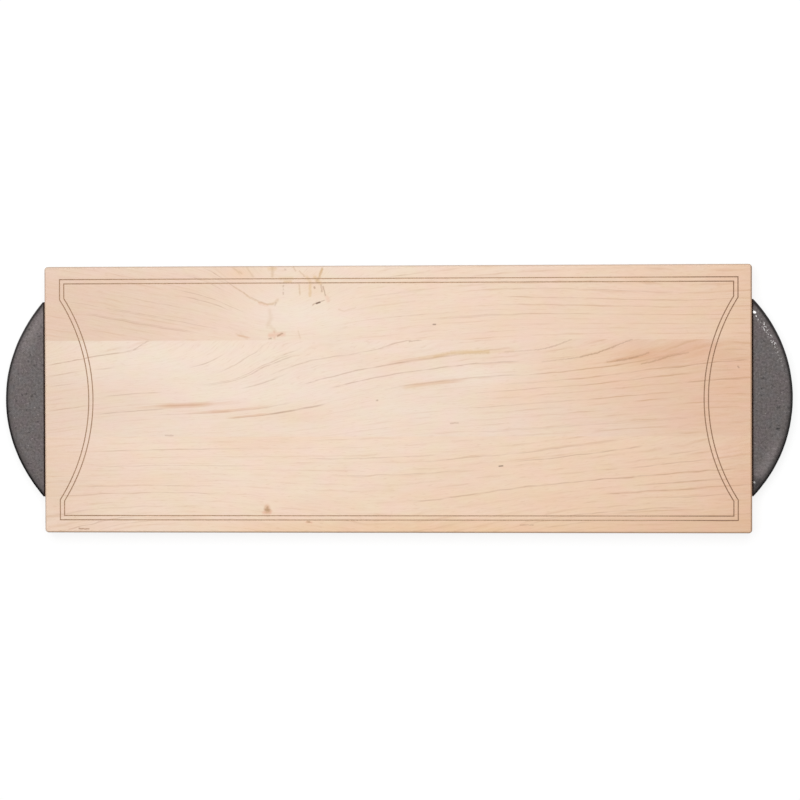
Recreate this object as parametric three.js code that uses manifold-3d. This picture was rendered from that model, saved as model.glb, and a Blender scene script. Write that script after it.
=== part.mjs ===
// Maple serving board with two half-moon iron grips.
//
// Three staves are glued edge to edge into one panel, whose arrises are eased. A double line is
// engraved around the top. A mortise in each end takes the tongue of a grip, and three wood
// screws, driven from below, pin each tongue in its mortise.
//
// Millimetres. X runs along the grain, Y across the board and Z up.
// The origin is the middle of the underside.

import * as THREE from 'three';
import { mergeVertices } from 'three/addons/utils/BufferGeometryUtils.js';
import Module from 'manifold-3d';

const wasm = await Module();
wasm.setup();

// Panel
const BOARD_LENGTH = 610;
const BOARD_THICKNESS = 19;
const BACK_STAVE_WIDTH = 64;
const MIDDLE_STAVE_WIDTH = 83;
const FRONT_STAVE_WIDTH = 83;
const CORNER_RADIUS = 3;
const ARRIS_RADIUS = 1.6;

// Engraved border: two parallel lines that bow inwards at both ends
const LINE_WIDTH = 0.9;
const LINE_DEPTH = 0.4;
const LINE_SPACING = 3.9;
const BORDER_END_INSET = 12.6;
const BORDER_SIDE_INSET = 11;
const BORDER_CORNER_RUN = 17.5;
const BORDER_BOW = 25.2;

// Grips
const GRIP_WIDTH = 166.5;
const GRIP_REACH = 35.5;
const GRIP_THICKNESS = 9;
const GRIP_RIM_RADIUS = 3;
const GRIP_TIP_DEPTH = 2;
const GRIP_TIP_RADIUS = 1.2;
const GRIP_SHOULDER_ARRIS = 0.8;
const SHOULDER_GAP = 0.3;

// Tongue and mortise
const MORTISE_HEIGHT = 5;
const TONGUE_LENGTH = 36;
const TONGUE_CORNER_RADIUS = 4;
const TONGUE_SET_IN = 11; // from the grip's tip to the tongue's edge
const TONGUE_FACE_PLAY = 0.3; // above and below the tongue
const TONGUE_END_PLAY = 1;
const SEASONAL_PLAY = 1.5; // room for the staves to swell and shrink across the tongue

// Wood screws
const SCREW_BITE = 4.3; // length in the upper cheek of the mortise
const SCREW_HEAD_RADIUS = 4;
const SCREW_HEAD_RIM = 0.3;
const SCREW_SHANK_RADIUS = 1.45;
const SCREW_SHANK_LENGTH = 2; // plain length between the head and the thread
const SCREW_THREAD_RADIUS = 2;
const SCREW_ROOT_RADIUS = 1.3;
const SCREW_PITCH = 2.4;
const SCREW_POINT_LENGTH = 3;
const SCREW_SETBACK = 0.3; // how far the head lies above the underside
const SCREW_GAP = 0.3; // around the screw in its holes
const DRIVE_LENGTH = 4.6;
const DRIVE_WIDTH = 1.1;
const DRIVE_DEPTH = 1.6;

// Fineness of the round shapes, and how far cutters reach past what they cut
const CORNER_STEPS = 5;
const ARRIS_STEPS = 3;
const BOW_STEPS = 14;
const RIM_SIDES = 120;
const RIM_STEPS = 4;
const HOLE_SIDES = 16;
const THREAD_STEPS = 4;
const CUT_MARGIN = 2;

// Sizes that follow from those above
const boardWidth = BACK_STAVE_WIDTH + MIDDLE_STAVE_WIDTH + FRONT_STAVE_WIDTH;
const midHeight = BOARD_THICKNESS / 2;
const boardEnd = BOARD_LENGTH / 2;
const cheek = (BOARD_THICKNESS - MORTISE_HEIGHT) / 2;
const tongueWidth = GRIP_WIDTH - 2 * TONGUE_SET_IN;
const tongueThickness = MORTISE_HEIGHT - 2 * TONGUE_FACE_PLAY;
const screwInset = TONGUE_LENGTH / 2 - SHOULDER_GAP;
const screwX = boardEnd - screwInset;
const screwLength = cheek + MORTISE_HEIGHT + SCREW_BITE - SCREW_SETBACK;
const screwHeadHeight = SCREW_HEAD_RIM + SCREW_HEAD_RADIUS - SCREW_SHANK_RADIUS;

const SIDES = [
  { name: 'left', sign: -1 },
  { name: 'right', sign: 1 },
];

// Each stave has its own screw at each end, midway along the stretch of tongue that lies in it.
// The middle screws fix the tongue. The outer ones have slots in it, so that the staves can move.
const STAVES = [
  { name: 'back', width: BACK_STAVE_WIDTH, colour: 0xe6cbb2, play: SEASONAL_PLAY },
  { name: 'middle', width: MIDDLE_STAVE_WIDTH, colour: 0xecd3bd, play: 0 },
  { name: 'front', width: FRONT_STAVE_WIDTH, colour: 0xefd9c6, play: SEASONAL_PLAY },
];
let glueLine = boardWidth / 2;
for (const stave of STAVES) {
  stave.high = glueLine;
  stave.low = glueLine - stave.width;
  const tongueHigh = Math.min(stave.high, tongueWidth / 2);
  const tongueLow = Math.max(stave.low, -tongueWidth / 2);
  stave.screwY = (tongueHigh + tongueLow) / 2;
  glueLine = stave.low;
}

// Solids

function solid(geometry) {
  const bare = geometry.clone();
  bare.deleteAttribute('normal');
  bare.deleteAttribute('uv');
  const merged = mergeVertices(bare);
  const triangles = [];
  for (let i = 0; i < merged.index.count; i += 3) {
    const [a, b, c] = [0, 1, 2].map((corner) => merged.index.getX(i + corner));
    if (a !== b && b !== c && c !== a) triangles.push(a, b, c);
  }
  const vertProperties = new Float32Array(merged.attributes.position.array);
  const triVerts = new Uint32Array(triangles);
  return new wasm.Manifold(new wasm.Mesh({ numProp: 3, vertProperties, triVerts }));
}

function geometryOf(manifold) {
  const mesh = manifold.getMesh();
  const geometry = new THREE.BufferGeometry();
  geometry.setAttribute('position', new THREE.BufferAttribute(mesh.vertProperties, 3));
  geometry.setIndex(new THREE.BufferAttribute(mesh.triVerts, 1));
  geometry.computeVertexNormals();
  return geometry;
}

function box(low, high) {
  const geometry = new THREE.BoxGeometry(high[0] - low[0], high[1] - low[1], high[2] - low[2]);
  geometry.translate((low[0] + high[0]) / 2, (low[1] + high[1]) / 2, (low[2] + high[2]) / 2);
  return solid(geometry);
}

// A turned solid about Z. The profile is a list of radius and height, from the bottom up.
function turned(profile, sides) {
  const points = profile.map(([radius, height]) => new THREE.Vector2(radius, height));
  return new THREE.LatheGeometry(points, sides).rotateX(Math.PI / 2);
}

// A plate of the given outline between two heights, with its edges rounded over.
function plate(outline, low, high, edge, curveSegments) {
  const geometry = new THREE.ExtrudeGeometry(outline, {
    depth: high - low - 2 * edge,
    curveSegments,
    bevelEnabled: edge > 0,
    bevelThickness: edge,
    bevelSize: edge,
    bevelOffset: -edge,
    bevelSegments: ARRIS_STEPS,
  });
  geometry.translate(0, 0, low + edge);
  return solid(geometry);
}

// Outlines

function roundedRectangle(left, bottom, right, top, radius) {
  const shape = new THREE.Shape();
  shape.absarc(right - radius, bottom + radius, radius, -Math.PI / 2, 0);
  shape.absarc(right - radius, top - radius, radius, 0, Math.PI / 2);
  shape.absarc(left + radius, top - radius, radius, Math.PI / 2, Math.PI);
  shape.absarc(left + radius, bottom + radius, radius, Math.PI, 1.5 * Math.PI);
  shape.closePath();
  return shape;
}

// A slot along Y: a straight run with a round end on each side of its middle.
function slotOutline(x, y, halfRun, radius) {
  const shape = new THREE.Shape();
  shape.absarc(x, y + halfRun, radius, 0, Math.PI);
  shape.absarc(x, y - halfRun, radius, Math.PI, 2 * Math.PI);
  shape.closePath();
  return shape;
}

// The border's outer line, moved inwards by an offset. The bows keep their centres,
// so that the two lines stay parallel.
function borderPath(offset, PathClass) {
  const lineEnd = boardEnd - BORDER_END_INSET;
  const lineSide = boardWidth / 2 - BORDER_SIDE_INSET;
  const halfChord = lineSide - BORDER_CORNER_RUN;
  const outerRadius = (halfChord ** 2 + BORDER_BOW ** 2) / (2 * BORDER_BOW);
  const centre = lineEnd - BORDER_BOW + outerRadius;
  const radius = outerRadius + offset;
  const end = lineEnd - offset;
  const side = lineSide - offset;
  const halfAngle = Math.acos((centre - end) / radius);
  const path = new PathClass();
  path.moveTo(-end, -side);
  path.lineTo(end, -side);
  path.absarc(centre, 0, radius, Math.PI + halfAngle, Math.PI - halfAngle, true);
  path.lineTo(end, side);
  path.lineTo(-end, side);
  path.absarc(-centre, 0, radius, halfAngle, -halfAngle, true);
  path.closePath();
  return path;
}

// Cutters

function engravedLine(offset) {
  const band = borderPath(offset - LINE_WIDTH / 2, THREE.Shape);
  band.holes.push(borderPath(offset + LINE_WIDTH / 2, THREE.Path));
  return plate(band, BOARD_THICKNESS - LINE_DEPTH, BOARD_THICKNESS + CUT_MARGIN, 0, BOW_STEPS);
}

// The mortise has the round ends that its cutter leaves.
function mortise(sign) {
  const radius = MORTISE_HEIGHT / 2;
  const depth = TONGUE_LENGTH - SHOULDER_GAP + TONGUE_END_PLAY;
  const halfRun = tongueWidth / 2 + SEASONAL_PLAY;
  const outline = slotOutline(0, 0, halfRun, radius);
  const geometry = new THREE.ExtrudeGeometry(outline, {
    depth: depth + CUT_MARGIN,
    curveSegments: HOLE_SIDES / 2,
    bevelEnabled: false,
  });
  geometry.rotateY(Math.PI / 2);
  const inner = sign > 0 ? boardEnd - depth : -boardEnd - CUT_MARGIN;
  geometry.translate(inner, 0, midHeight);
  return solid(geometry);
}

function screwHole(x, y) {
  const radius = SCREW_THREAD_RADIUS + SCREW_GAP;
  const mouth = SCREW_HEAD_RADIUS + SCREW_GAP;
  const rimTop = SCREW_SETBACK + SCREW_HEAD_RIM;
  const hole = turned(
    [
      [0, -CUT_MARGIN],
      [mouth, -CUT_MARGIN],
      [mouth, rimTop],
      [radius, rimTop + mouth - radius],
      [radius, SCREW_SETBACK + screwLength],
      [0, SCREW_SETBACK + screwLength + SCREW_GAP],
    ],
    HOLE_SIDES,
  );
  return solid(hole.translate(x, y, 0));
}

// Pieces

function gluedPanel() {
  const side = boardWidth / 2;
  const outline = roundedRectangle(-boardEnd, -side, boardEnd, side, CORNER_RADIUS);
  let wood = plate(outline, 0, BOARD_THICKNESS, ARRIS_RADIUS, CORNER_STEPS);
  wood = wood.subtract(engravedLine(0)).subtract(engravedLine(LINE_SPACING));
  for (const { sign } of SIDES) {
    wood = wood.subtract(mortise(sign));
    for (const { screwY } of STAVES) wood = wood.subtract(screwHole(sign * screwX, screwY));
  }
  return wood;
}

// A stave is the panel's wood between two glue lines.
function staveWood(panel, low, high) {
  const reach = boardEnd + CUT_MARGIN;
  const slab = box([-reach, low, -CUT_MARGIN], [reach, high, BOARD_THICKNESS + CUT_MARGIN]);
  return panel.intersect(slab);
}

// The grips share one shape. It is made for one end of the board, with X from the board's end
// and Z from the tongue's middle, and is turned half round for the other end.
function grip(sign) {
  const halfWidth = GRIP_WIDTH / 2;
  const half = GRIP_THICKNESS / 2;
  const bow = GRIP_REACH - GRIP_TIP_DEPTH;
  const radius = (halfWidth ** 2 + bow ** 2) / (2 * bow);
  const profile = [[0, -half]];
  for (const side of [-1, 1]) {
    for (let step = 0; step <= RIM_STEPS; step += 1) {
      const turn = (Math.PI / 2) * (side < 0 ? 1 - step / RIM_STEPS : step / RIM_STEPS);
      const height = half - GRIP_RIM_RADIUS + GRIP_RIM_RADIUS * Math.sin(turn);
      profile.push([radius - GRIP_RIM_RADIUS + GRIP_RIM_RADIUS * Math.cos(turn), side * height]);
    }
  }
  profile.push([0, half]);
  const disc = solid(turned(profile, RIM_SIDES).translate(GRIP_REACH - radius, 0, 0));
  const far = GRIP_REACH + CUT_MARGIN;
  const blockOutline = roundedRectangle(SHOULDER_GAP, -halfWidth, far, halfWidth, GRIP_TIP_RADIUS);
  const block = plate(blockOutline, -half, half, GRIP_SHOULDER_ARRIS, CORNER_STEPS);
  return disc.intersect(block).add(tongue(sign));
}

function tongue(sign) {
  const inner = SHOULDER_GAP - TONGUE_LENGTH;
  const root = SHOULDER_GAP + GRIP_TIP_DEPTH;
  const half = tongueThickness / 2;
  const edge = tongueWidth / 2;
  const blank = roundedRectangle(inner, -edge, root + TONGUE_CORNER_RADIUS, edge, TONGUE_CORNER_RADIUS);
  const trim = box([inner, -edge, -half], [root, edge, half]);
  let blade = plate(blank, -half, half, 0, CORNER_STEPS).intersect(trim);
  for (const { screwY, play } of STAVES) {
    const hole = slotOutline(-screwInset, sign * screwY, play, SCREW_THREAD_RADIUS + SCREW_GAP);
    blade = blade.subtract(plate(hole, -half - CUT_MARGIN, half + CUT_MARGIN, 0, HOLE_SIDES / 2));
  }
  return blade;
}

// The thread is pushed out of the screw's core along a helix and fades out at the point.
function screw() {
  const threadStart = screwHeadHeight + SCREW_SHANK_LENGTH;
  const pointStart = screwLength - SCREW_POINT_LENGTH;
  const profile = [
    [0, 0],
    [SCREW_HEAD_RADIUS, 0],
    [SCREW_HEAD_RADIUS, SCREW_HEAD_RIM],
    [SCREW_SHANK_RADIUS, screwHeadHeight],
    [SCREW_SHANK_RADIUS, threadStart],
  ];
  const step = SCREW_PITCH / THREAD_STEPS;
  for (let height = threadStart + step; height < screwLength - step / 2; height += step) {
    const taper = Math.min(1, (screwLength - height) / SCREW_POINT_LENGTH);
    profile.push([SCREW_ROOT_RADIUS * taper, height]);
  }
  profile.push([0, screwLength]);
  const geometry = turned(profile, HOLE_SIDES);
  const points = geometry.attributes.position;
  for (let i = 0; i < points.count; i += 1) {
    const [x, y, height] = [points.getX(i), points.getY(i), points.getZ(i)];
    const radius = Math.hypot(x, y);
    if (height > threadStart + step / 2 && height < screwLength - step / 2) {
      const phase = height / SCREW_PITCH - Math.atan2(y, x) / (2 * Math.PI);
      const crest = Math.max(0, Math.cos(2 * Math.PI * phase));
      const fade = height > pointStart ? (screwLength - height) / SCREW_POINT_LENGTH : 1;
      const pushed = radius + (SCREW_THREAD_RADIUS - SCREW_ROOT_RADIUS) * crest * fade;
      points.setXY(i, (x * pushed) / radius, (y * pushed) / radius);
    }
  }
  let body = solid(geometry);
  for (const [x, y] of [[DRIVE_LENGTH, DRIVE_WIDTH], [DRIVE_WIDTH, DRIVE_LENGTH]]) {
    body = body.subtract(box([-x / 2, -y / 2, -CUT_MARGIN], [x / 2, y / 2, DRIVE_DEPTH]));
  }
  return body;
}

// Finishes

function maple(colour) {
  return new THREE.MeshStandardMaterial({ color: colour, roughness: 0.55, metalness: 0 });
}

function iron() {
  return new THREE.MeshStandardMaterial({ color: 0x6a6566, roughness: 0.5, metalness: 0.8 });
}

function steel() {
  return new THREE.MeshStandardMaterial({ color: 0xa9a294, roughness: 0.35, metalness: 1 });
}

// Assembly

const board = new THREE.Group();

function place(name, geometry, material, x = 0, y = 0, z = 0) {
  const mesh = new THREE.Mesh(geometry, material);
  mesh.name = name;
  mesh.position.set(x, y, z);
  board.add(mesh);
  return mesh;
}

const panel = gluedPanel();
for (const { name, low, high, colour } of STAVES) {
  place(`stave_${name}`, geometryOf(staveWood(panel, low, high)), maple(colour));
}

const screwGeometry = geometryOf(screw());
for (const { name: side, sign } of SIDES) {
  const mesh = place(`grip_${side}`, geometryOf(grip(sign)), iron(), sign * boardEnd, 0, midHeight);
  mesh.rotation.z = sign > 0 ? 0 : Math.PI;
  for (const { name: row, screwY } of STAVES) {
    place(`screw_${side}_${row}`, screwGeometry, steel(), sign * screwX, screwY, SCREW_SETBACK);
  }
}

export default board;
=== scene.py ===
# %% [markdown]
# # A maple serving board with iron grips
#
# The board is a long panel of three maple staves, glued edge to edge and planed flat. Two fine lines
# are engraved around its top, and a half-moon of cast iron is let into each end as a grip. The sizes
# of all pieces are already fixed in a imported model, so this lesson starts by loading that model and
# keeping its box. Every piece made here is then built in the same place, in metres, with +Z up.

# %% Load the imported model
import math

import bmesh
import bpy
from mathutils import Matrix, Vector, noise


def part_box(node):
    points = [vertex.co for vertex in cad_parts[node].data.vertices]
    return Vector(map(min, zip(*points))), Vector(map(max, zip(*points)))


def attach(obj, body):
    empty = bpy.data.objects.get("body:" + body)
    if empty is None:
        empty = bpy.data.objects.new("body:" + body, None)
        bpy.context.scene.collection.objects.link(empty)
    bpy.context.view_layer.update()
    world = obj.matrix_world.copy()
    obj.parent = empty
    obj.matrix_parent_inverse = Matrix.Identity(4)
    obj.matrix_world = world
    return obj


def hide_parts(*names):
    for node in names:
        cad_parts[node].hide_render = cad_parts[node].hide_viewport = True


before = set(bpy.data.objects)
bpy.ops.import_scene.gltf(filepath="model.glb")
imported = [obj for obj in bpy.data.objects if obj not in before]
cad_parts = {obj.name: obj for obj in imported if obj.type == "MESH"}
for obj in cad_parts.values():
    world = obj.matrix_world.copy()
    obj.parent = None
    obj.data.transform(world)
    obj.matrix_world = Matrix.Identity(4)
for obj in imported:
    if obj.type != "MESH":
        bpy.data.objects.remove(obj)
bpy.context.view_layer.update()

MM = 0.001
print("pieces in the packed model:", len(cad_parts))

# %% [markdown]
# ## Read the sizes of the panel
#
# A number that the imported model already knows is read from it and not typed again. The two glue lines
# are where one stave's box ends and the next begins, so the new staves meet exactly where the old ones
# do. Only the small sizes that a box cannot tell, such as the rounding of an edge, are written here.

# %% Panel sizes
_, front_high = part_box("stave_front")
_, middle_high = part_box("stave_middle")
_, back_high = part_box("stave_back")

BOARD_END = back_high.x
BOARD_SIDE = back_high.y
BOARD_TOP = back_high.z
GLUE_LINE_BACK = middle_high.y
GLUE_LINE_FRONT = front_high.y
CORNER_RADIUS = 3 * MM
ARRIS_RADIUS = 1.6 * MM
print("board, mm:", [round(2 * BOARD_END / MM), round(2 * BOARD_SIDE / MM), round(BOARD_TOP / MM)])
print("glue lines at y, mm:", round(GLUE_LINE_BACK / MM, 1), round(GLUE_LINE_FRONT / MM, 1))

# %% [markdown]
# ## Place the camera
#
# The photograph looks almost straight down, a few degrees from the right, through a long lens. A
# camera can be turned with three angles, but for a near-vertical view it is easier to say where it
# looks and from which side: the three axes of the camera are then worked out with cross products and
# put into its matrix. The small roll is the tilt of the photographer's own level.

# %% Camera
CAMERA_AIM = Vector((3.67, -0.67, 17.4)) * MM
CAMERA_DISTANCE = 2.9
CAMERA_TILT_RIGHT = math.radians(4.31)
CAMERA_TILT_BACK = math.radians(0.76)
CAMERA_ROLL = math.radians(-0.15)
CAMERA_LENS = 151.7
CAMERA_SENSOR = 36


def camera_matrix():
    """Stand the camera over the board and turn its own axes to look at the aim point."""
    sideways = math.sin(CAMERA_TILT_RIGHT)
    backwards = math.sin(CAMERA_TILT_BACK)
    from_aim = Vector((sideways, backwards, math.sqrt(1 - sideways**2 - backwards**2)))
    right = (-from_aim).cross(Vector((0, 1, 0))).normalized()
    up = right.cross(-from_aim)
    turned_right = math.cos(CAMERA_ROLL) * right + math.sin(CAMERA_ROLL) * up
    turned_up = math.cos(CAMERA_ROLL) * up - math.sin(CAMERA_ROLL) * right
    axes = Matrix((turned_right, turned_up, from_aim)).transposed().to_4x4()
    axes.translation = CAMERA_AIM + CAMERA_DISTANCE * from_aim
    return axes


def lay_out(name, data):
    """Put a camera, a lamp or a mesh into the scene as an object."""
    made = bpy.data.objects.new(name, data)
    bpy.context.scene.collection.objects.link(made)
    return made


camera_data = bpy.data.cameras.new("camera_above")
camera_data.lens = CAMERA_LENS
camera_data.sensor_width = CAMERA_SENSOR
camera = lay_out("camera_above", camera_data)
camera.matrix_world = camera_matrix()
bpy.context.scene.camera = camera
print("camera stands at, m:", [round(value, 3) for value in camera.matrix_world.translation])

# %% [markdown]
# ## Helpers for shaping
#
# Most pieces here are turned or lofted: a row of outlines with the same number of points, joined by
# four-sided faces. One small function that joins such rings can therefore make a plank, a groove
# cutter, a screw and a hole. What is cut away on the bench is cut away here too, with Blender's
# Boolean modifier, whose result is written into the mesh at once so that nothing is left to chance.

# %% Join rings of points
def freeze(shape, name):
    """Turn the faces of an edited shape outwards, and lay it out as a solid."""
    bmesh.ops.recalc_face_normals(shape, faces=shape.faces)
    mesh = bpy.data.meshes.new(name)
    shape.to_mesh(mesh)
    shape.free()
    return lay_out(name, mesh)


def skin(name, rings, closed=False):
    """Join rings of equal count with quads, and cap the ends or, if closed, join last to first."""
    count = len(rings[0])
    points = [point for ring in rings for point in ring]
    faces = []
    for row in range(len(rings) if closed else len(rings) - 1):
        here = row * count
        there = (row + 1) % len(rings) * count
        for step in range(count):
            after = (step + 1) % count
            faces.append((here + step, here + after, there + after, there + step))
    if not closed:
        faces.append(tuple(reversed(range(count))))
        faces.append(tuple(range(len(points) - count, len(points))))
    rough = bpy.data.meshes.new("rough")
    rough.from_pydata(points, [], faces)
    shape = bmesh.new()
    shape.from_mesh(rough)
    bpy.data.meshes.remove(rough)
    return freeze(shape, name)


print("helpers ready: freeze and skin")

# %% Cut one solid with another, and smooth it
# A weight of 100 lets the largest face alone decide how a corner is shaded.
BY_AREA = 100


def settle(piece):
    """Write what the modifiers of a piece show into its own mesh."""
    seen = piece.evaluated_get(bpy.context.evaluated_depsgraph_get())
    old = piece.data
    piece.data = bpy.data.meshes.new_from_object(seen)
    piece.modifiers.clear()
    bpy.data.meshes.remove(old)


def cut(piece, cutter, operation="DIFFERENCE"):
    """Cut a piece with a cutter, or join the two, and throw the cutter away."""
    boolean = piece.modifiers.new("cut", "BOOLEAN")
    boolean.operation = operation
    boolean.solver = "EXACT"
    boolean.object = cutter
    settle(piece)
    old = cutter.data
    bpy.data.objects.remove(cutter)
    bpy.data.meshes.remove(old)


def soften(piece, sharpest):
    """Shade a piece smooth, but keep edges that turn more than an angle, and keep flats flat."""
    for polygon in piece.data.polygons:
        polygon.use_smooth = True
    piece.data.set_sharp_from_angle(angle=math.radians(sharpest))
    weighted = piece.modifiers.new("flat faces stay flat", "WEIGHTED_NORMAL")
    weighted.keep_sharp = True
    weighted.weight = BY_AREA
    settle(piece)


print("helpers ready: settle, cut and soften")

# %% [markdown]
# ## Saw three staves from one eased slab
#
# The maker glues rough staves, then planes and sands the whole panel, which rounds its upright corners
# and its top and bottom arrises. So the slab is lofted whole first, as outlines that step in along a
# quarter circle at the bottom and the top. It is then sawn at the glue lines, which keeps the staves
# flush and their glued faces square, as they are on the real board.

# %% Slab
CORNER_STEPS = 10
ARRIS_STEPS = 8
QUARTER_TURN = math.radians(90)
CORNERS = [(1, -1), (1, 1), (-1, 1), (-1, -1)]


def panel_outline(inset, height):
    """The board's outline with rounded corners, drawn in by an inset."""
    ring = []
    for turn, (side_x, side_y) in enumerate(CORNERS):
        for step in range(CORNER_STEPS + 1):
            angle = QUARTER_TURN * (turn - 1 + step / CORNER_STEPS)
            x = side_x * (BOARD_END - CORNER_RADIUS) + (CORNER_RADIUS - inset) * math.cos(angle)
            y = side_y * (BOARD_SIDE - CORNER_RADIUS) + (CORNER_RADIUS - inset) * math.sin(angle)
            ring.append((x, y, height))
    return ring


def eased_slab():
    """The whole panel, with a quarter-round arris below and above."""
    quarter = [QUARTER_TURN * step / ARRIS_STEPS for step in range(ARRIS_STEPS + 1)]
    steps = [(ARRIS_RADIUS * (1 - math.sin(a)), ARRIS_RADIUS * (1 - math.cos(a))) for a in quarter]
    below = [panel_outline(inset, height) for inset, height in steps]
    above = [panel_outline(inset, BOARD_TOP - height) for inset, height in reversed(steps)]
    return skin("slab", below + above)


slab = eased_slab()
print("slab:", len(slab.data.polygons), "faces")

# %% Staves
def saw(slab, name, low, high):
    """Keep what lies between two heights in y, and close the sawn faces."""
    shape = bmesh.new()
    shape.from_mesh(slab.data)
    for height, direction in ((low, -1), (high, 1)):
        whole = shape.verts[:] + shape.edges[:] + shape.faces[:]
        bmesh.ops.bisect_plane(
            shape, geom=whole, plane_co=(0, height, 0), plane_no=(0, direction, 0), clear_outer=True
        )
        open_edges = [edge for edge in shape.edges if edge.is_boundary]
        if open_edges:
            bmesh.ops.edgeloop_fill(shape, edges=open_edges)
    return freeze(shape, name)


staves = {
    "back": saw(slab, "maple_stave_back", GLUE_LINE_BACK, 2 * BOARD_SIDE),
    "middle": saw(slab, "maple_stave_middle", GLUE_LINE_FRONT, GLUE_LINE_BACK),
    "front": saw(slab, "maple_stave_front", -2 * BOARD_SIDE, GLUE_LINE_FRONT),
}
bpy.data.objects.remove(slab)
for name, stave in staves.items():
    print(name, "stave, mm:", [round(value / MM, 1) for value in stave.dimensions])

# %% [markdown]
# ## Engrave the double border
#
# The border is two thin lines, 3.7 mm apart, that run along the sides and bow inwards at the ends
# around the grips. They are burnt in by a laser, so each is a shallow round-bottomed groove with a
# brown floor. A painted line would vanish from the side, so a cutter is lofted along the border
# instead: each point of the groove's section is a whole loop of the border, a little further in or out.
# The board lay a touch to one side in the engraver's jig, so the border is not quite in its middle.

# %% Border line
BORDER_END_INSET = 12.6 * MM
BORDER_SIDE_INSET = 11 * MM
BORDER_CORNER_RUN = 17.5 * MM
BORDER_BOW = 25.2 * MM
JIG_SHIFT = 0.75 * MM
BOW_STEPS = 72


def border_loop(inset, height):
    """One closed loop of the border: straight sides, short corners and a bow at each end."""
    line_end = BOARD_END - BORDER_END_INSET
    line_side = BOARD_SIDE - BORDER_SIDE_INSET
    half_chord = line_side - BORDER_CORNER_RUN
    bow_radius = (half_chord**2 + BORDER_BOW**2) / (2 * BORDER_BOW)
    centre = line_end - BORDER_BOW + bow_radius
    end = line_end - inset
    side = line_side - inset
    radius = bow_radius + inset
    half_angle = math.acos((centre - end) / radius)
    loop = []
    for direction in (1, -1):
        loop.append((JIG_SHIFT - direction * end, -direction * side, height))
        loop.append((JIG_SHIFT + direction * end, -direction * side, height))
        for step in range(BOW_STEPS + 1):
            angle = half_angle * (1 - 2 * step / BOW_STEPS)
            x = centre - radius * math.cos(angle)
            loop.append((JIG_SHIFT + direction * x, -direction * radius * math.sin(angle), height))
    return loop


print("points in one border loop:", len(border_loop(0, BOARD_TOP)))

# %% Groove cutter
LINE_SPACING = 3.7 * MM
LINE_WIDTH = 0.9 * MM
LINE_DEPTH = 0.45 * MM
CUT_MARGIN = 2 * MM
GROOVE_STEPS = 8


def groove_cutter(inset):
    """A tube along the border whose lower half is the groove's round bottom."""
    section = [(LINE_WIDTH / 2, CUT_MARGIN)]
    for step in range(GROOVE_STEPS + 1):
        angle = math.pi * step / GROOVE_STEPS
        section.append((LINE_WIDTH / 2 * math.cos(angle), -LINE_DEPTH * math.sin(angle)))
    section.append((-LINE_WIDTH / 2, CUT_MARGIN))
    loops = [border_loop(inset + sideways, BOARD_TOP + rise) for sideways, rise in section]
    return skin("groove_cutter", loops, closed=True)


print("each groove is", LINE_WIDTH / MM, "mm wide and", LINE_DEPTH / MM, "mm deep")

# %% [markdown]
# ## Mortise the ends and drill for the screws
#
# The iron grip has a flat tongue that slides into a slot in the board's end, and a screw from below
# holds it in each stave. The slot is cut with a straight router bit, so its two ends are round. The
# screw holes are a clearance hole and a countersink for the cone of the head. None of this shows from
# above, but the board has to come apart on the bench, and the countersinks show from below.

# %% Mortise
grip_low, grip_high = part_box("grip_right")
MID_HEIGHT = (grip_low.z + grip_high.z) / 2
MORTISE_HEIGHT = 5 * MM
TONGUE_WIDTH = 144.5 * MM
SEASONAL_PLAY = 1.5 * MM
MORTISE_DEPTH = 36.7 * MM
ROUND_STEPS = 24


def circle(radius, height, centre_x=0.0, centre_y=0.0):
    """A level ring of points around an upright axis."""
    angles = [math.pi * step / ROUND_STEPS for step in range(2 * ROUND_STEPS)]
    return [(centre_x + radius * math.cos(a), centre_y + radius * math.sin(a), height) for a in angles]


def mortise_cutter(end):
    """A flat slot with round ends, driven into the board along x."""
    half_run = TONGUE_WIDTH / 2 + SEASONAL_PLAY
    section = []
    for side in (1, -1):
        for step in range(ROUND_STEPS + 1):
            angle = math.pi * step / ROUND_STEPS
            y = side * (half_run + MORTISE_HEIGHT / 2 * math.sin(angle))
            section.append((y, MID_HEIGHT + side * MORTISE_HEIGHT / 2 * math.cos(angle)))
    depths = (BOARD_END - MORTISE_DEPTH, BOARD_END + CUT_MARGIN)
    rings = [[(end * x, y, z) for y, z in section] for x in depths]
    return skin("mortise_cutter", rings)


print("mortise:", MORTISE_DEPTH / MM, "mm deep, at a height of", round(MID_HEIGHT / MM, 1), "mm")

# %% Screw holes
HEAD_RADIUS = 4 * MM
HEAD_RIM = 0.3 * MM
THREAD_RADIUS = 2 * MM
FIT_GAP = 0.3 * MM
DRILL_POINT_SHARE = 0.1


def screw_place(end, stave):
    """The middle of a screw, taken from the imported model."""
    low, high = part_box(f"screw_{end}_{stave}")
    return (low + high) / 2, low.z, high.z


def hole_cutter(end, stave):
    """A countersunk hole for one screw, from below."""
    middle, head, point = screw_place(end, stave)
    radius = THREAD_RADIUS + FIT_GAP
    mouth = HEAD_RADIUS + FIT_GAP
    rim_top = head + HEAD_RIM
    profile = [(mouth, -CUT_MARGIN), (mouth, rim_top), (radius, rim_top + mouth - radius), (radius, point)]
    profile.append((radius * DRILL_POINT_SHARE, point + FIT_GAP))
    return skin("hole_cutter", [circle(r, z, middle.x, middle.y) for r, z in profile])


print("clearance hole:", 2 * (THREAD_RADIUS + FIT_GAP) / MM, "mm wide")

# %% Engrave, mortise and drill the staves
ENDS = {"left": -1, "right": 1}

for name, stave in staves.items():
    for inset in (0, LINE_SPACING):
        cut(stave, groove_cutter(inset))
    for end, direction in ENDS.items():
        cut(stave, mortise_cutter(direction))
        cut(stave, hole_cutter(end, name))
    soften(stave, sharpest=35)
    print(name, "stave, cut:", len(stave.data.polygons), "faces")

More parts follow.
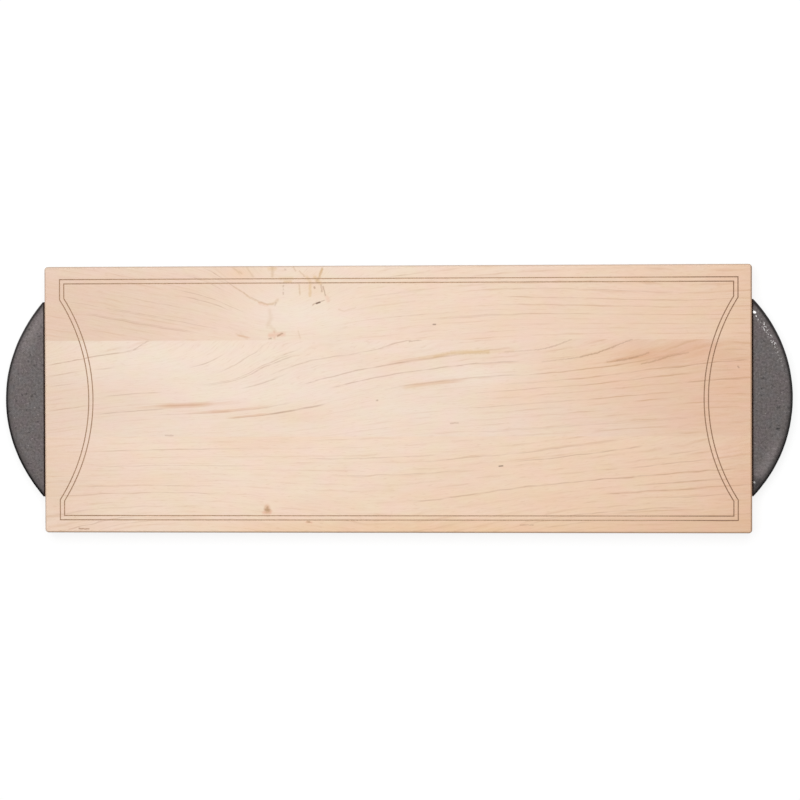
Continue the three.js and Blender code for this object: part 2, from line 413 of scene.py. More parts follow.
# %% [markdown]
# ## Helpers for finishes
#
# A procedural finish is a web of small nodes. Written out in full it would hide the idea behind the
# wiring, so one helper adds a node and feeds its sockets, and short ones do sums, blends, soft steps and
# clouds of noise. Colours are written as they look on a screen, from 0 to 255, and turned into the
# linear values that a shader works with.

# %% Nodes and sums
def feed(tree, node, feeds):
    """Feed a node's inputs, by name or number, with values or with other nodes' outputs."""
    for socket, value in dict(feeds).items():
        if isinstance(value, bpy.types.NodeSocket):
            tree.links.new(value, node.inputs[socket])
        else:
            node.inputs[socket].default_value = value


def put(tree, kind, feeds=(), **settings):
    """Add a node, make its settings and feed it."""
    node = tree.nodes.new("ShaderNode" + kind)
    for setting, value in settings.items():
        setattr(node, setting, value)
    feed(tree, node, feeds)
    return node


def calc(tree, operation, *terms):
    """A sum of one, two or three numbers."""
    return put(tree, "Math", enumerate(terms), operation=operation).outputs[0]


def times(tree, first, second):
    """One number times another."""
    return calc(tree, "MULTIPLY", first, second)


def reckon(tree, operation, first, second, result="Vector"):
    """A sum of two places."""
    return put(tree, "VectorMath", {0: first, 1: second}, operation=operation).outputs[result]


print("helpers ready: feed, put, calc, times and reckon")

# %% Blends, ramps, clouds and tones
def blend(tree, amount, under, over, how="MIX"):
    """Lay one colour over another."""
    feeds = {"Factor": amount, 6: under, 7: over}
    return put(tree, "Mix", feeds, data_type="RGBA", blend_type=how).outputs[2]


def soft_step(tree, value, start, end, low=0.0, high=1.0):
    """Rise smoothly from low to high while the value goes from start to end. The four are a ramp."""
    feeds = {"Value": value, "From Min": start, "From Max": end, "To Min": low, "To Max": high}
    return put(tree, "MapRange", feeds, interpolation_type="SMOOTHSTEP").outputs[0]


def cloud(tree, place, size, detail=2.0, rough=0.5):
    """Smooth noise around 0.5, with lumps of a size in the units of the place."""
    feeds = {"Vector": place, "Scale": 1 / size, "Detail": detail, "Roughness": rough}
    return put(tree, "TexNoise", feeds).outputs[0]


def tone(red, green, blue):
    """A screen colour as linear light."""

    def linear(value):
        share = value / 255
        return share / 12.92 if share <= 0.04045 else ((share + 0.055) / 1.055) ** 2.4

    return (linear(red), linear(green), linear(blue), 1.0)


print("cream maple in linear light:", [round(value, 3) for value in tone(240, 218, 200)[:3]])

# %% New finishes
def clear_nodes(owner):
    """Empty the node tree of a material or a world, ready for new nodes."""
    owner.use_nodes = True
    owner.node_tree.nodes.clear()
    return owner.node_tree


def finish(name):
    """A new material with its shader and its output, and the place on the piece in millimetres."""
    material = bpy.data.materials.new(name)
    tree = clear_nodes(material)
    shader = put(tree, "BsdfPrincipled")
    put(tree, "OutputMaterial", {0: shader.outputs[0]})
    coordinates = put(tree, "TexCoord").outputs["Object"]
    return material, tree, shader, reckon(tree, "MULTIPLY", coordinates, (1 / MM, 1 / MM, 1 / MM))


def dress(piece, *finishes):
    """Give a piece its finishes in place of whatever it had."""
    piece.data.materials.clear()
    for material in finishes:
        piece.data.materials.append(material)


print("helpers ready: clear_nodes, finish and dress")

# %% [markdown]
# ## How the grain runs
#
# Growth rings are shells in the tree, and a plank cuts through them. Along a straight plank they would
# be straight lines, but the trunk bulged and dipped, so the lines rise and sink. This is drawn with one
# number, the grain level: it is the height across the stave, tilted a little, and pushed up or down by
# a few soft swells. Every line of constant level is then a grain line. The level also changes with
# depth, which carries the same rings around the edges, the ends and the underside of the stave.

# %% Grain level of each stave
# A swell is its middle along and across the board, its reach along and across, and its push, in mm.
GRAIN_TILT = {"back": -0.03, "middle": 0.035, "front": 0.03}
GRAIN_SWELLS = {
    "back": [(-98, 115, 40, 45, 45), (-103, 75, 185, 110, 35), (236, 85, 165, 25, 17)],
    "middle": [
        (-118, 50, 75, 35, -40), (-133, 55, 100, 70, 53), (-108, 53, 390, 9, -6.5),
        (285, 60, 112, 35, -23), (-381, 40, 175, 95, 65), (300, 0, 180, 35, -8),
    ],
    "front": [
        (389, -20, 215, 30, -25), (-315, -130, 90, 32, 22), (2, -170, 150, 83, 44),
        (280, -100, 130, 20, 7),
    ],
}
GRAIN_LEAN = {"back": 3.4, "middle": 2.6, "front": 3.8}


def grain_level(stave, along, across):
    """The grain level at a place on the top face, in mm."""
    level = across - GRAIN_TILT[stave] * along
    for middle_x, middle_y, reach_x, reach_y, push in GRAIN_SWELLS[stave]:
        off_x = (along - middle_x) / reach_x
        off_y = (across - middle_y) / reach_y
        level += push * math.exp(-(off_x**2) - off_y**2)
    return level


def steepness(stave, along, across):
    """How fast the grain level rises across the stave at a place: 1 where the rings lie undisturbed."""
    half_mm = 0.5
    return grain_level(stave, along, across + half_mm) - grain_level(stave, along, across - half_mm)


for name in staves:
    print(name, "grain level at its middle:", round(grain_level(name, 0, 0), 1))

# %% [markdown]
# ## Where the rings lie
#
# Rings of evenly spaced noise look like a printed pattern, because a tree has good and bad years. The
# levels of the rings are therefore listed one by one, as they were read from the photograph. In
# some places the wood is so even that its rings hardly show, and these quiet places are listed as well.
# Beyond the list, on the edges and the underside, the rings go on at their usual spacing.

# %% Rings of each stave
RING_SPACING = 5.8
RING_CATCH = 0.5
RING_LEVELS = {
    "back": [69, 75.3, 81, 87, 93.3, 98, 102.6, 109.5, 114.8, 119, 124.5],
    "middle": [-36, -30.3, -25.5, -21, -15.7, -11, -4, 1.8, 7.4, 14.4, 17.9, 26.2, 31.7, 37.3, 43, 49.8]
    + [56, 64, 74, 84, 98],
    "front": [-100, -95, -90.2, -86.3, -82.2, -78, -71.8, -65.6, -62, -57, -53, -48, -43, -36.6],
}
# A quiet place is a soft oval: its middle, its reach along and across, and how much of a ring it hides.
QUIET_PLACES = {
    "back": [(-83, 95, 80, 55, 1.0), (-230, 85, 120, 50, 0.3)],
    "middle": [
        (-140, 45, 50, 12, 0.7), (-68, 22, 130, 34, 0.8), (-199, 30, 60, 30, 0.5),
        (-148, -25, 120, 30, 0.4),
    ],
    "front": [(-148, -70, 190, 60, 0.5)],
}


def line_level(stave, along, across):
    """The grain level of a listed line, moved onto a ring if one runs close by."""
    level = grain_level(stave, along, across)
    ring = min(RING_LEVELS[stave], key=lambda at_level: abs(at_level - level))
    return ring if abs(ring - level) < RING_CATCH else level


for name in staves:
    print(name, "stave shows", len(RING_LEVELS[name]), "rings")

# %% [markdown]
# ## Three small node groups: a swell, a streak and a stroke
#
# The same three shapes are needed many times, so each becomes a node group. A swell is a soft round or
# oval hill, which bends the grain or tints a region. A streak is a band that follows one grain level for
# some way and then fades out, as a dark late-wood line and a brown mineral streak do. A stroke is a soft
# mark between two places, as if made with a brush, and it draws the buds of the burl, flecks and a knot.

# %% New groups
def new_group(name, numbers, places=()):
    """An empty node group with inputs for places and for numbers, and one number as its output."""
    group = bpy.data.node_groups.new(name, "ShaderNodeTree")
    for label in places:
        group.interface.new_socket(label, in_out="INPUT", socket_type="NodeSocketVector")
    for label in numbers:
        group.interface.new_socket(label, in_out="INPUT", socket_type="NodeSocketFloat")
    group.interface.new_socket("Amount", in_out="OUTPUT", socket_type="NodeSocketFloat")
    source = group.nodes.new("NodeGroupInput")
    result = group.nodes.new("NodeGroupOutput")
    return group, source.outputs, result.inputs


def use(tree, group, values):
    """Use a node group in a finish."""
    return put(tree, "Group", enumerate(values), node_tree=group).outputs[0]


print("helpers ready: new_group and use")

# %% Swell group
def make_swell_group():
    """Push times a bell curve around a middle."""
    labels = ["Along", "Across", "Middle along", "Middle across", "Reach along", "Reach across", "Push"]
    group, given, result = new_group("swell", labels)
    squares = []
    for way in ("along", "across"):
        apart = calc(group, "SUBTRACT", given[way.capitalize()], given["Middle " + way])
        share = calc(group, "DIVIDE", apart, given["Reach " + way])
        squares.append(times(group, share, share))
    fall = times(group, calc(group, "ADD", *squares), -1.0)
    hill = times(group, calc(group, "EXPONENT", fall), given["Push"])
    group.links.new(hill, result[0])
    return group


def swell(tree, along, across, *oval):
    """A soft hill: its middle along and across, its reach along and across, and its push."""
    return use(tree, swell_group, [along, across, *oval])


swell_group = make_swell_group()
print("swell group:", len(swell_group.nodes), "nodes")

# %% Streak group
def make_streak_group():
    """Strength times a band around one grain level, with a flat core, faded at both ends."""
    labels = ["Along", "Level", "At level", "Start", "End", "Fade", "Half width", "Core", "Strength"]
    group, given, result = new_group("streak", labels)
    off = calc(group, "ABSOLUTE", calc(group, "SUBTRACT", given["Level"], given["At level"]))
    band = soft_step(group, off, given["Half width"], given["Core"])
    full_from = calc(group, "ADD", given["Start"], given["Fade"])
    full_to = calc(group, "SUBTRACT", given["End"], given["Fade"])
    begun = soft_step(group, given["Along"], given["Start"], full_from)
    ended = soft_step(group, given["Along"], given["End"], full_to)
    shown = times(group, times(group, begun, ended), band)
    group.links.new(times(group, shown, given["Strength"]), result[0])
    return group


def streak(tree, along, level, *band):
    """A band at a grain level: that level, its start, end, fade, half width, core and strength."""
    return use(tree, streak_group, [along, level, *band])


streak_group = make_streak_group()
print("streak group:", len(streak_group.nodes), "nodes")

# %% Stroke group
def make_stroke_group():
    """Strength times a soft mark around the straight line from one place to another."""
    group, given, result = new_group("stroke", ["Half width", "Strength"], ["Place", "From", "To"])
    run = reckon(group, "SUBTRACT", given["To"], given["From"])
    gone = reckon(group, "SUBTRACT", given["Place"], given["From"])
    part = reckon(group, "DOT_PRODUCT", gone, run, "Value")
    whole = reckon(group, "DOT_PRODUCT", run, run, "Value")
    share = put(group, "Math", {0: part, 1: whole}, operation="DIVIDE", use_clamp=True).outputs[0]
    reached = put(group, "VectorMath", {0: run, "Scale": share}, operation="SCALE").outputs[0]
    apart = reckon(group, "DISTANCE", gone, reached, "Value")
    mark = soft_step(group, apart, given["Half width"], 0.0)
    group.links.new(times(group, mark, given["Strength"]), result[0])
    return group


def stroke(tree, place, from_x, from_y, to_x, to_y, half_width, strength):
    """A soft mark from one place to another."""
    return use(tree, stroke_group, [place, (from_x, from_y, 0), (to_x, to_y, 0), half_width, strength])


stroke_group = make_stroke_group()
print("stroke group:", len(stroke_group.nodes), "nodes")

# %% [markdown]
# ## Lines and streaks of each stave
#
# Every stave has marks of its own that the eye remembers. First come the late-wood lines that stand out
# and the brown mineral streaks. They were traced in the photograph and are listed in millimetres
# on the top face. A line or a streak is named by one point that it passes through and by where it starts
# and ends, and the grain level at that point leads it along the right curve.

# %% Late-wood lines
# A line is a point on it, its start and end along the board, and its darkness.
LATE_WOOD_LINES = {
    "back": [
        (-236, 68, -272, -171, 0.6), (-235, 77, -251, -195, 0.5), (-216, 85, -241, -184, 0.5),
        (-259, 80.5, -290, -148, 0.4), (-259, 73.4, -275, -164, 0.45), (-164, 84, -193, -138, 0.7),
        (-163, 88, -199, -126, 0.6), (-174, 105, -185, -144, 0.7), (-149, 104, -168, -106, 0.8),
        (4, 71, -30, 34, 0.4), (1, 91, -32, 32, 0.4), (18, 108.5, -10, 34, 0.6), (71, 71, 30, 114, 0.4),
        (152, 94.4, 82, 275, 0.45), (132, 87.6, 90, 285, 0.45), (132, 81.1, 82, 275, 0.4),
        (127, 73.3, 47, 290, 0.4),
    ],
    "middle": [
        (-250, 39, -306, -218, 0.85), (-274, 35.6, -306, -249, 0.5), (-290, 22, -306, -272, 0.6),
        (-287, 13, -306, -272, 0.5), (-253, 27, -266, -239, 0.6), (-296, 0, -306, -284, 0.5),
        (-289, -8, -306, -266, 0.6), (-227, 5, -257, -199, 0.6), (-168, 30, -183, -146, 0.7),
        (-137, 17.5, -169, -82, 0.6), (-134, 32, -158, -108, 0.5), (-119, 13, -136, -90, 0.7),
        (-117, 26.8, -171, -83, 0.6), (-94, 40, -108, -78, 0.7), (-87, 29, -112, 26, 0.65),
        (-28, 26, -84, 62, 0.8), (-15, 19, -60, 110, 0.8), (35, 15, -12, 112, 0.6),
        (-90, -9.7, -118, -58, 1.5), (-222, -9.5, -264, -195, 0.7), (-186, -5.2, -214, -164, 0.45),
        (-156, -11.2, -213, -86, 0.45), (-127, -14.8, -150, -88, 0.5), (178, 27.3, 96, 253, 0.5),
        (262, 30, 227, 306, 1.0), (289, 41.6, 266, 306, 0.5), (269, 15.6, 243, 306, 0.9),
        (127, 14.9, 92, 241, 0.4), (132, 9.5, 62, 261, 0.35), (122, -3.9, 52, 241, 0.35),
        (166, -22.4, 62, 261, 0.35),
    ],
    "front": [
        (-199, -43.2, -259, -128, 0.5), (-199, -57, -262, -118, 0.4), (-199, -74.2, -272, -153, 0.5),
        (-169, -80.7, -297, -153, 0.5), (-232, -92.5, -302, -195, 0.4), (-251, -104.5, -306, -213, 0.6),
        (-235, -107.5, -262, -199, 0.5), (-38, -51, -80, 38, 0.5), (32, -63, -60, 64, 0.5),
        (62, -50.7, 17, 186, 0.55), (112, -75.3, 12, 191, 0.65), (173, -46, 98, 217, 0.75),
        (246, -46, 225, 268, 0.5), (236, -55.4, 196, 270, 0.6), (251, -63.2, 162, 294, 0.8),
        (246, -70.7, 206, 294, 0.7), (237, -77, 177, 306, 0.7), (262, -83, 225, 306, 0.6),
        (166, -98, 106, 247, 0.6), (158, -106, 122, 173, 0.5),
    ],
}
for name in staves:
    print(name, "stave has", len(LATE_WOOD_LINES[name]), "lines that stand out")

# %% Mineral streaks
# A streak also has half its width and its strength, after its start and end.
MINERAL_STREAKS = {
    "back": [(-132, 54.5, -139, -124, 1.0, 0.5)],
    "middle": [
        (-186, -5.2, -212, -152, 3.0, 0.46), (-186, -5.2, -238, -130, 1.3, 0.26),
        (-154, -10.6, -186, -100, 1.5, 0.36), (-154, -10.6, -164, -140, 1.7, 0.22),
        (-127, -14.5, -150, -105, 1.2, 0.45), (14, 33.3, -12, 50, 2.4, 0.33),
        (27, 12.9, -2, 70, 2.5, 0.4), (196, 33.6, 176, 226, 2.0, 0.35),
    ],
    "front": [(237, -77, 181, 300, 1.6, 0.25)],
}
print("mineral streaks in the middle stave:", len(MINERAL_STREAKS["middle"]))

# %% [markdown]
# ## The burl, the flecks and the pin knot
#
# The burl is a pale patch where buds once grew, and each left a short golden or brown mark. The front
# stave has one pin knot, the foot of a twig, and all staves have a few flecks of dark gum. They do not
# follow the grain, so they are drawn as strokes, sorted by their tone. A chain of strokes makes an arc.

# %% Tones of the small marks
MARK_TONES = {
    "gold": tone(218, 182, 126),
    "red": tone(228, 174, 148),
    "tan": tone(206, 172, 134),
    "brown": tone(154, 112, 80),
    "dark": tone(96, 66, 46),
}


def chain(start, *steps):
    """Strokes that follow each other. A step is where a stroke ends, half its width and its strength."""
    strokes = []
    for end_x, end_y, half_width, strength in steps:
        strokes.append((*start, end_x, end_y, half_width, strength))
        start = (end_x, end_y)
    return strokes


# A mark goes from one place to another, and has half a width and a strength.
SMALL_MARKS = {}
print("tones of the small marks:", ", ".join(MARK_TONES))

# %% Small marks of the back stave
SMALL_MARKS["back"] = {
    "gold": [
        (-99.5, 104.2, -89, 104.2, 2.4, 0.35), (-95.6, 101.5, -90.3, 101.5, 2.2, 0.5),
        (-76.4, 105.4, -72.9, 100.2, 2.6, 0.42), (-69.5, 105.3, -65.1, 100.1, 2.8, 0.5),
        (-73.6, 98.9, -73.6, 89.3, 2.2, 0.5), (-109, 112.9, -103.8, 112.8, 2.8, 0.4),
        (-65.5, 106.2, -63.1, 112.2, 1.8, 0.6),
    ],
    "red": [
        (-108.3, 55.3, -97, 56.1, 3.4, 0.5), (-104.8, 58.3, -104.7, 53.1, 2.0, 0.45),
        (-117.8, 83, -110.9, 81.4, 2.4, 0.3), (-59, 88, -58, 85, 3.0, 0.3),
    ],
    "tan": [
        *chain(
            (-140, 97.4), (-131, 92, 1.1, 0.3), (-125.7, 87.5, 1.1, 0.55), (-118, 84.1, 1.1, 0.4),
            (-111.3, 81.9, 1.4, 0.6), (-105.6, 82.5, 1.4, 0.6), (-101.6, 85.6, 2.0, 0.4),
        ),
        *chain((-108.7, 76.9), (-107.6, 70, 3.0, 0.22), (-110.5, 63.9, 3.2, 0.25)),
        (-109, 64, -104, 59, 2.8, 0.2), (-137.9, 56.7, -128, 52.4, 1.4, 0.25),
        (-134, 57.5, -131, 54, 2.2, 0.15), (-83.9, 58.7, -82.2, 52.6, 1.4, 0.25),
        *chain((-49.1, 77.6), (-44.3, 75.8, 1.2, 0.3), (-34.5, 78.9, 1.2, 0.25)),
        (-83, 98.5, -82.5, 90.7, 1.3, 0.5), (-106.2, 113.5, -106.2, 106.5, 2.4, 0.45),
        (-63.1, 112.2, -65.5, 106.5, 1.7, 0.7), (-66, 104.5, -68, 101, 2.4, 0.55),
        (-88.1, 114.1, -86.4, 111, 1.3, 0.5), (-82.9, 110.6, -78.6, 106.2, 1.2, 0.45),
        (-140.4, 113.4, -133, 108.5, 1.3, 0.5), (-128, 113.4, -123, 106, 1.3, 0.35),
    ],
    "brown": [
        (-95.3, 111.9, -94.9, 111.7, 1.3, 0.35), (-96.9, 98.1, -96.9, 97.2, 1.2, 0.38),
        (-96.9, 95.2, -96.9, 94.5, 1.1, 0.22), (-96.9, 92, -96.9, 90.7, 1.2, 0.34),
        (-70.1, 96.7, -69.7, 95.8, 1.3, 0.6), (-64.3, 98.4, -63.4, 92.8, 1.0, 0.4),
        (-62.5, 97.1, -60.4, 89.7, 1.1, 0.55), (-104.1, 81.2, -103, 83.4, 1.1, 0.3),
        (-101.8, 54.6, -97.7, 57, 1.1, 0.6), (-109.4, 52.4, -107.3, 52.5, 1.0, 0.5),
        (-71.5, 81.5, -61.3, 85.2, 0.9, 0.55),
    ],
    "dark": [(-68, 82.7, -65.2, 83.6, 1.2, 1.0), (32.6, 64.2, 34.4, 64.2, 1.1, 0.65)],
}
print("back stave:", sum(len(marks) for marks in SMALL_MARKS["back"].values()), "small marks")

# %% Small marks of the middle stave
SMALL_MARKS["middle"] = {
    "gold": [
        *chain(
            (21, 35.4), (33.4, 36.8, 2.2, 0.2), (48.2, 39.6, 2.6, 0.4), (58, 40.4, 3.0, 0.5),
            (80, 40.6, 3.0, 0.55), (101, 41.3, 2.4, 0.2),
        ),
        (9, 9.4, 45, 14.6, 4.0, 0.14),
    ],
    "tan": chain((33.4, 36.6), (48.2, 38.9, 1.3, 0.25), (80, 39.8, 1.3, 0.3)),
    "brown": [
        *chain((-227, 43.2), (-220.4, 47.2, 0.9, 0.3), (-214, 51, 0.9, 0.25)),
        (-16.4, -1, -15.4, -1, 1.1, 0.5), (47, -20.8, 54, -20.4, 1.0, 0.35),
        (-200, -31, -193, -31, 1.0, 0.3), (12, 49.6, 22, 50.8, 0.9, 0.4),
        *chain(
            (94.2, 40.4), (119.9, 42, 0.9, 0.18), (128.5, 43.3, 0.9, 0.3), (137.9, 45.8, 0.9, 0.35),
            (151, 51, 0.9, 0.32),
        ),
        *chain(
            (126, 32), (148.2, 34.4, 0.9, 0.2), (158.4, 35.9, 1.0, 0.35), (173, 39.3, 1.0, 0.5),
            (184.1, 43.6, 1.0, 0.5), (203, 51, 1.0, 0.42),
        ),
        *chain(
            (181.6, 31.9), (190, 32.6, 1.0, 0.3), (198.7, 33.9, 1.3, 0.45), (208, 36.4, 1.3, 0.45),
            (217, 39.4, 1.1, 0.35),
        ),
        *chain((210.9, 30), (219.4, 31.5, 1.1, 0.35), (234, 36.1, 1.1, 0.4), (251.1, 39.5, 1.0, 0.3)),
    ],
    "dark": [(293, 27.6, 293.8, 26.6, 1.1, 0.45)],
}
print("middle stave:", sum(len(marks) for marks in SMALL_MARKS["middle"].values()), "small marks")

# %% Small marks of the front stave
SMALL_MARKS["front"] = {
    "red": [
        (-113.6, -97.4, -109, -97, 3.2, 0.7), (-111.4, -92.8, -111, -96.5, 4.0, 0.6),
        (-77, -105.7, -73, -106, 1.6, 0.6),
    ],
    "tan": [(-111.6, -94.2, -111, -96, 4.0, 0.8), (-76.5, -105.4, -74, -105.8, 1.4, 0.7)],
    "brown": [
        (-112.2, -95.4, -110.2, -95.2, 2.4, 0.5), (-111.4, -93.6, -111, -95.4, 1.8, 0.5),
        (-76, -105.5, -74.6, -105.7, 1.1, 0.4), (107, -108, 118, -108, 1.0, 0.3),
        (-275.4, -111.6, -266.8, -112, 1.0, 0.75),
    ],
    "dark": [(89, -57.6, 92, -57.3, 1.0, 0.8)],
}
print("front stave:", sum(len(marks) for marks in SMALL_MARKS["front"].values()), "small marks")

# %% [markdown]
# ## Tones and wide tints
#
# Maple is cream in the sapwood and turns tan, honey or rose towards the heart. So each stave has its own
# ground colour, and a few wide, soft ovals of another tone are laid over it. Wide tints do more for a
# likeness than any fine line, because the eye sees them first.

# %% Tones of the maple
MAPLE_GROUND = {
    "back": tone(240, 216, 196),
    "middle": tone(241, 221, 204),
    "front": tone(242, 219, 199),
}
MAPLE_TAN = tone(230, 195, 167)
MAPLE_WARM = tone(232, 192, 158)
MAPLE_PINK = tone(226, 196, 174)
MAPLE_ROSE = tone(221, 175, 142)
MAPLE_HONEY = tone(236, 198, 162)
MAPLE_PALE = tone(243, 228, 212)
LATE_WOOD = tone(198, 152, 112)
LINE_BROWN = tone(152, 102, 66)
MINERAL_BROWN = tone(211, 157, 118)
STREAK_GLOW = tone(216, 164, 128)
ARRIS_SHADE_TONE = tone(172, 138, 112)
# How far each stave drifts towards the warm tone from patch to patch.
DRIFT = {"back": 0.24, "middle": 0.18, "front": 0.26}
print("palest maple in linear light:", [round(value, 3) for value in MAPLE_PALE[:3]])

# %% Wide tints
# A tint is a soft oval: its middle, its reach along and across, its strength, and its tone.
WIDE_TINTS = {
    "back": [
        (-310, 80, 190, 120, 0.85, MAPLE_PINK),
        (330, 80, 190, 120, 0.85, MAPLE_TAN),
        (-83, 72, 60, 28, 0.7, MAPLE_PALE),
        (-240, 113, 130, 9, 0.2, MAPLE_PALE),
        (-35, 112, 80, 10, 0.35, MAPLE_PALE),
        (318, 80, 34, 60, 0.25, MAPLE_ROSE),
        (-134, 109, 13, 7, 0.45, MAPLE_HONEY),
        (-133, 55, 13, 6, 0.12, MAPLE_HONEY),
        (-70, 98, 13, 12, 0.2, MAPLE_HONEY),
        (-172, 55, 45, 7, 0.22, MAPLE_PALE),
    ],
    "middle": [
        (330, 30, 200, 60, 0.75, MAPLE_ROSE),
        (330, -25, 150, 45, 0.6, MAPLE_ROSE),
        (218, 35.5, 27, 7.5, 0.62, STREAK_GLOW),
        (250, 42, 40, 8, 0.4, STREAK_GLOW),
        (-310, 0, 110, 60, 0.5, MAPLE_PINK),
        (-225, 34, 100, 18, 0.5, MAPLE_PALE),
        (-150, 6, 60, 14, 0.3, MAPLE_PALE),
        (70, 22, 40, 10, 0.5, MAPLE_PALE),
        (-88, -14, 45, 7, 0.3, MAPLE_HONEY),
        (170, 26, 55, 22, 0.4, MAPLE_HONEY),
        (105, 2, 30, 12, 0.3, MAPLE_HONEY),
        (-318, 0, 36, 120, 0.15, MAPLE_ROSE),
    ],
    "front": [
        (350, -60, 210, 90, 0.85, MAPLE_TAN),
        (345, -75, 70, 60, 0.55, MAPLE_ROSE),
        (60, -112, 190, 9, 0.85, MAPLE_HONEY),
        (110, -92, 190, 16, 0.3, MAPLE_HONEY),
        (158, -62, 80, 30, 0.3, MAPLE_HONEY),
        (-95, -113, 50, 8, 0.4, MAPLE_HONEY),
        (275, -110, 115, 16, 0.52, MAPLE_ROSE),
        (-310, -65, 70, 70, 0.45, MAPLE_PINK),
        (-318, -55, 36, 40, 0.15, MAPLE_ROSE),
        (318, -65, 34, 70, 0.2, MAPLE_ROSE),
    ],
}
for name in staves:
    print(name, "stave has", len(WIDE_TINTS[name]), "wide tints")

# %% [markdown]
# ## Grain and rings as nodes
#
# The same sums are now written as nodes. A slow wobble and a quick one keep the grain lines from looking
# drawn with a ruler. A ring is a thin dark line wherever the level comes close to one of the listed
# levels. Noise that is drawn out along the grain breaks the rings into dashes, because the late wood of
# maple is thin and comes and goes.

# %% Places, drawn-out noise and lists of amounts
def place_parts(tree, place):
    """Split a place into along, across and depth below the top, in millimetres."""
    parts = put(tree, "SeparateXYZ", {0: place}).outputs
    depth = calc(tree, "SUBTRACT", BOARD_TOP / MM, parts["Z"])
    return parts["X"], parts["Y"], depth


def stretch(tree, place, along, size, detail=1.0):
    """Noise around 0 whose lumps are drawn out along the board."""
    drawn_out = reckon(tree, "MULTIPLY", place, (1 / along, 1, 1))
    return calc(tree, "SUBTRACT", cloud(tree, drawn_out, size, detail), 0.5)


def total(tree, amounts):
    """Add up a list of amounts, held to at most 1."""
    result = amounts[0]
    for amount in amounts[1:]:
        result = calc(tree, "ADD", result, amount)
    return calc(tree, "MINIMUM", result, 1.0)


def strongest(tree, amounts):
    """The largest of a list of amounts, so that marks that meet don't darken each other."""
    result = amounts[0]
    for amount in amounts[1:]:
        result = calc(tree, "MAXIMUM", result, amount)
    return result


print("helpers ready: place_parts, stretch, total and strongest")

# %% Grain and ring nodes
# A wobble is how far it is drawn out along the board, the size of its lumps, and its push, in mm.
GRAIN_WOBBLES = [(3, 16, 1.8), (2.5, 6, 1.4)]
RING_HALF_WIDTH = 0.85
DASH_LENGTH = 34.0
DASH_HEIGHT = 2.6
DASH_RAMP = (0.40, 0.72, 0.05, 1.0)


def grain_nodes(tree, stave, place):
    """The grain level as nodes, with a slow and a quick wobble."""
    along, across, depth = place_parts(tree, place)
    level = calc(tree, "MULTIPLY_ADD", along, -GRAIN_TILT[stave], across)
    level = calc(tree, "MULTIPLY_ADD", depth, GRAIN_LEAN[stave], level)
    for oval in GRAIN_SWELLS[stave]:
        level = calc(tree, "ADD", level, swell(tree, along, across, *oval))
    for drawn_out, size, push in GRAIN_WOBBLES:
        level = calc(tree, "MULTIPLY_ADD", stretch(tree, place, drawn_out, size), push, level)
    return along, across, depth, level


def ring_nodes(tree, stave, along, across, level):
    """Late-wood lines of the ordinary rings, from 0 to 1, and a wider shade around them."""
    levels = RING_LEVELS[stave]
    half = RING_SPACING / 2
    above = calc(tree, "MAXIMUM", calc(tree, "SUBTRACT", level, levels[-1]), -half)
    below = calc(tree, "MAXIMUM", calc(tree, "SUBTRACT", levels[0], level), -half)
    apart = calc(tree, "MINIMUM", calc(tree, "PINGPONG", above, half), calc(tree, "PINGPONG", below, half))
    for at_level in levels:
        gap = calc(tree, "ABSOLUTE", calc(tree, "SUBTRACT", level, at_level))
        apart = calc(tree, "MINIMUM", apart, gap)
    dash_x = calc(tree, "DIVIDE", along, DASH_LENGTH)
    dash_y = calc(tree, "DIVIDE", level, DASH_HEIGHT)
    dash_place = put(tree, "CombineXYZ", {0: dash_x, 1: dash_y}).outputs[0]
    dashes = soft_step(tree, cloud(tree, dash_place, size=1.0), *DASH_RAMP)
    hidden = total(tree, [swell(tree, along, across, *oval) for oval in QUIET_PLACES[stave]])
    shown = times(tree, dashes, calc(tree, "SUBTRACT", 1.0, hidden))
    line = soft_step(tree, apart, RING_HALF_WIDTH, 0.0)
    shade = soft_step(tree, apart, half, 0.0)
    return times(tree, line, shown), times(tree, shade, shown)


print("a ring's dashes are about", DASH_LENGTH, "mm long")

# %% [markdown]
# ## The maple finish
#
# The finish is oiled and satin, and almost all of what one sees is the wood itself. It is laid over the
# ground colour from wide to fine: the tints and a slow drift of hue, then the rings, the streaks and
# lines, the small marks and the fibres. Most amounts are ramps: a ramp is two values, and the amount at
# each of them. The fibres are noise that is drawn out along the grain, and they also roughen the surface
# very slightly. The outer arris is painted darker as shade, more at the front and the ends than at the
# back.

# %% Lines, streaks and shaken marks
LINE_FADE = 14
LINE_HALF_WIDTH = 0.5
LINE_WIDENING = 0.4
UNEVEN_RAMP = (-0.2, 0.1, 0.35, 1.0)
STREAK_FADE = 22
STREAK_FADE_SHARE = 0.3
STREAK_CORE_SHARE = 0.5
STREAK_RAGGED = 1.4
SHAKE = 1.8
SHAKE_SCALE = 0.45


def line_nodes(tree, stave, along, level, place):
    """The lines that stand out, uneven along their length."""
    lines = []
    for x, y, start, end, dark in LATE_WOOD_LINES[stave]:
        half_width = (LINE_HALF_WIDTH + LINE_WIDENING * dark) * steepness(stave, x, y)
        at_level = line_level(stave, x, y)
        lines.append(streak(tree, along, level, at_level, start, end, LINE_FADE, half_width, 0.0, dark))
    uneven = soft_step(tree, stretch(tree, place, along=5, size=2.6, detail=2.0), *UNEVEN_RAMP)
    return times(tree, total(tree, lines), uneven)


